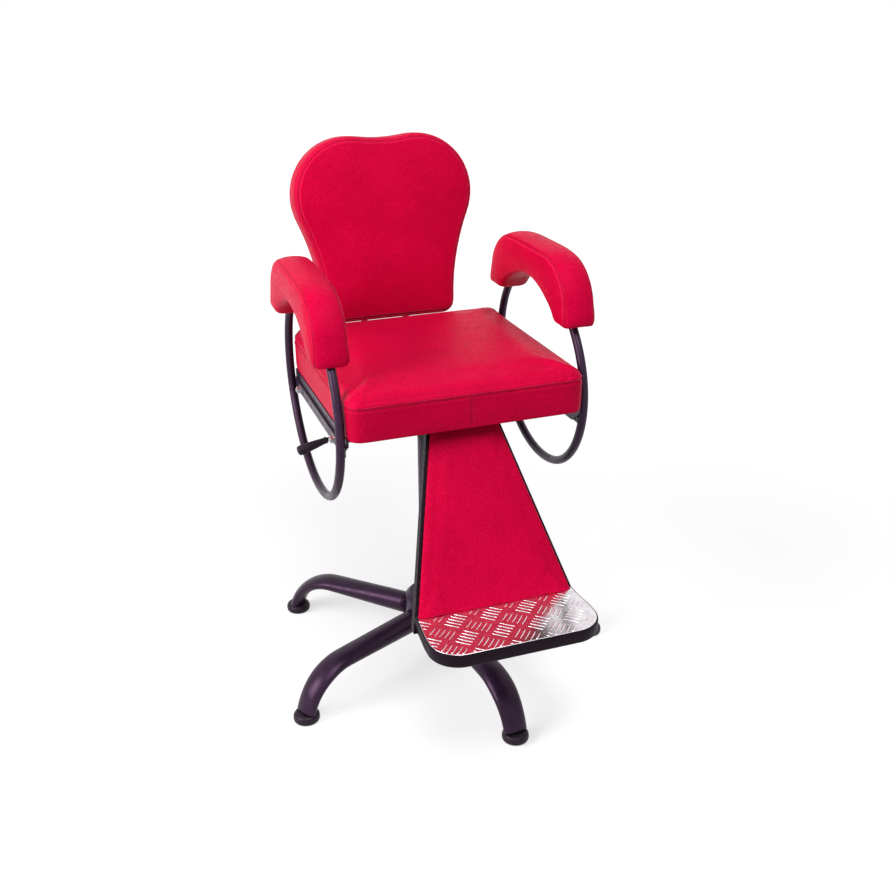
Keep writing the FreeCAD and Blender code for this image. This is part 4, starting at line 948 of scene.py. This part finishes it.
def tread_bars():
    """Groups of five parallel bars in a chequered pattern, cut off at the sheet's edge."""
    verts, faces = [], []
    steps, rings = 14, 5
    for group_u in range(-5, 6):
        for group_v in range(-7, 3):
            if (group_u + group_v) % 2:
                continue
            slope = math.radians(GROUP_SLOPES[group_u % 2])
            centre = Vector((GROUP_START[0] + group_u * GROUP_PITCH[0],
                             GROUP_START[1] + group_v * GROUP_PITCH[1]))
            along = Vector((math.cos(slope), math.sin(slope)))
            across = Vector((-along.y, along.x))
            for bar in range(-2, 3):
                middle = centre + across * bar * BAR_PITCH
                shares = [k / steps * 2 - 1 for k in range(steps + 1)]
                kept = [s for s in shares if inside_tread(*(middle + along * s * BAR_HALF)) > BAR_MARGIN]
                if len(kept) < 4:
                    continue
                base = len(verts)
                for share in kept:
                    girth = max(0.05, 1 - abs(share) ** 2.6) ** 0.6
                    spot = middle + along * share * BAR_HALF
                    for ring in range(rings):
                        turn = math.pi * ring / (rings - 1)
                        wide = BAR_HALF_WIDTH * girth * math.cos(turn)
                        tall = BAR_HEIGHT * girth * math.sin(turn)
                        verts.append(Vector((spot.x + across.x * wide, spot.y + across.y * wide,
                                             TREAD_TOP - 0.05 + tall)) * MM)
                for row in range(len(kept) - 1):
                    for ring in range(rings - 1):
                        low, high = base + row * rings + ring, base + (row + 1) * rings + ring
                        faces.append((low, high, high + 1, low + 1))
                faces.append(tuple(base + ring for ring in range(rings)))
                faces.append(tuple(base + (len(kept) - 1) * rings + ring for ring in reversed(range(rings))))
    return mesh_object("tread_bars", verts, faces, MATERIALS["tread_aluminium"])


dressed(tread_bars(), "seat", "tread_aluminium")


# Studio: white floor that keeps the shadow, soft lamps, the photograph's camera

AMBIENT_LEVEL = 0.28
FLOOR_GLOW_NEAR, FLOOR_GLOW_FAR = (0.9, 0.62), (3.2, 1.0)  # distance in m and level of the floor's white
PHOTO_SIZE, PHOTO_FOCAL, SENSOR = 894, 1086.71, 36  # px, px, mm
PHOTO_ANGLES, PHOTO_PLACE = (-19.59, 23.61, -0.41), (-0.6138, -1.8196, 1.2959)


def studio_white(tree):
    """1 for camera, glossy and transmission rays, for nodes of the world or the floor."""
    path = tree.nodes.new("ShaderNodeLightPath")
    level = path.outputs["Is Camera Ray"]
    for name in ("Is Glossy Ray", "Is Transmission Ray"):
        node = tree.nodes.new("ShaderNodeMath")
        node.operation = "MAXIMUM"
        tree.links.new(level, node.inputs[0])
        tree.links.new(path.outputs[name], node.inputs[1])
        level = node.outputs[0]
    return level


world = bpy.data.worlds.new("studio")
scene.world = world
world.use_nodes = True
tree = world.node_tree
ambient = tree.nodes["Background"]
ambient.inputs["Color"].default_value = (0.92, 0.92, 1.0, 1)
ambient.inputs["Strength"].default_value = AMBIENT_LEVEL
seen = tree.nodes.new("ShaderNodeBackground")
seen.inputs["Color"].default_value = (1, 1, 1, 1)
seen.inputs["Strength"].default_value = 1.0
choice = tree.nodes.new("ShaderNodeMixShader")
tree.links.new(studio_white(tree), choice.inputs[0])
tree.links.new(ambient.outputs[0], choice.inputs[1])
tree.links.new(seen.outputs[0], choice.inputs[2])
tree.links.new(choice.outputs[0], tree.nodes["World Output"].inputs["Surface"])

floor_mat = bpy.data.materials.new("studio_floor")
floor_mat.use_nodes = True
tree = floor_mat.node_tree
tree.nodes.remove(tree.nodes["Principled BSDF"])
matt = tree.nodes.new("ShaderNodeBsdfDiffuse")
matt.inputs["Color"].default_value = (0.5, 0.5, 0.5, 1)
glow = tree.nodes.new("ShaderNodeEmission")
distance = tree.nodes.new("ShaderNodeVectorMath")
distance.operation = "LENGTH"
tree.links.new(tree.nodes.new("ShaderNodeTexCoord").outputs["Object"], distance.inputs[0])
level = spread(tree, distance.outputs["Value"], FLOOR_GLOW_NEAR[1], FLOOR_GLOW_FAR[1],
               FLOOR_GLOW_NEAR[0], FLOOR_GLOW_FAR[0])
gate = tree.nodes.new("ShaderNodeMath")
gate.operation = "MULTIPLY"
tree.links.new(level, gate.inputs[0])
tree.links.new(studio_white(tree), gate.inputs[1])
tree.links.new(gate.outputs[0], glow.inputs["Strength"])
both = tree.nodes.new("ShaderNodeAddShader")
tree.links.new(matt.outputs[0], both.inputs[0])
tree.links.new(glow.outputs[0], both.inputs[1])
tree.links.new(both.outputs[0], tree.nodes["Material Output"].inputs["Surface"])
floor = mesh_object("studio_floor", [(-20, -20, 0), (20, -20, 0), (20, 20, 0), (-20, 20, 0)], [(0, 1, 2, 3)],
                    floor_mat, smooth=False)


def softbox(name, place, target, width, height, power, colour=(1, 1, 1)):
    lamp = bpy.data.lights.new(name, "AREA")
    lamp.shape = "RECTANGLE"
    lamp.size, lamp.size_y = width, height
    lamp.energy = power
    lamp.color = colour
    obj = bpy.data.objects.new(name, lamp)
    scene.collection.objects.link(obj)
    obj.location = place
    obj.rotation_euler = (Vector(target) - Vector(place)).to_track_quat("-Z", "Y").to_euler()


softbox("left_softbox", (-2.7, -0.4, 1.8), (0, 0, 0.7), width=1.8, height=1.6, power=84,
        colour=(1, 0.94, 0.97))
softbox("top_softbox", (0, -1.2, 2.7), (0, 0, 0.6), width=1.6, height=1.6, power=46)


def photo_camera():
    """The camera solved from the photograph: azimuth, elevation, roll, place and focal length."""
    azimuth, elevation, roll = (math.radians(angle) for angle in PHOTO_ANGLES)
    back = Vector((math.sin(azimuth) * math.cos(elevation), -math.cos(azimuth) * math.cos(elevation),
                   math.sin(elevation)))
    right = Vector((math.cos(azimuth), math.sin(azimuth), 0))
    up = back.cross(right)
    side = right * math.cos(roll) + up * math.sin(roll)
    head = up * math.cos(roll) - right * math.sin(roll)
    data = bpy.data.cameras.new("photo_camera")
    data.sensor_width = SENSOR
    data.lens = PHOTO_FOCAL / PHOTO_SIZE * SENSOR
    data.clip_end = 100
    obj = bpy.data.objects.new("photo_camera", data)
    scene.collection.objects.link(obj)
    turn = Matrix((side, head, back)).transposed().to_4x4()
    obj.matrix_world = Matrix.Translation(PHOTO_PLACE) @ turn
    return obj


scene.camera = photo_camera()
scene.view_settings.view_transform = "Standard"
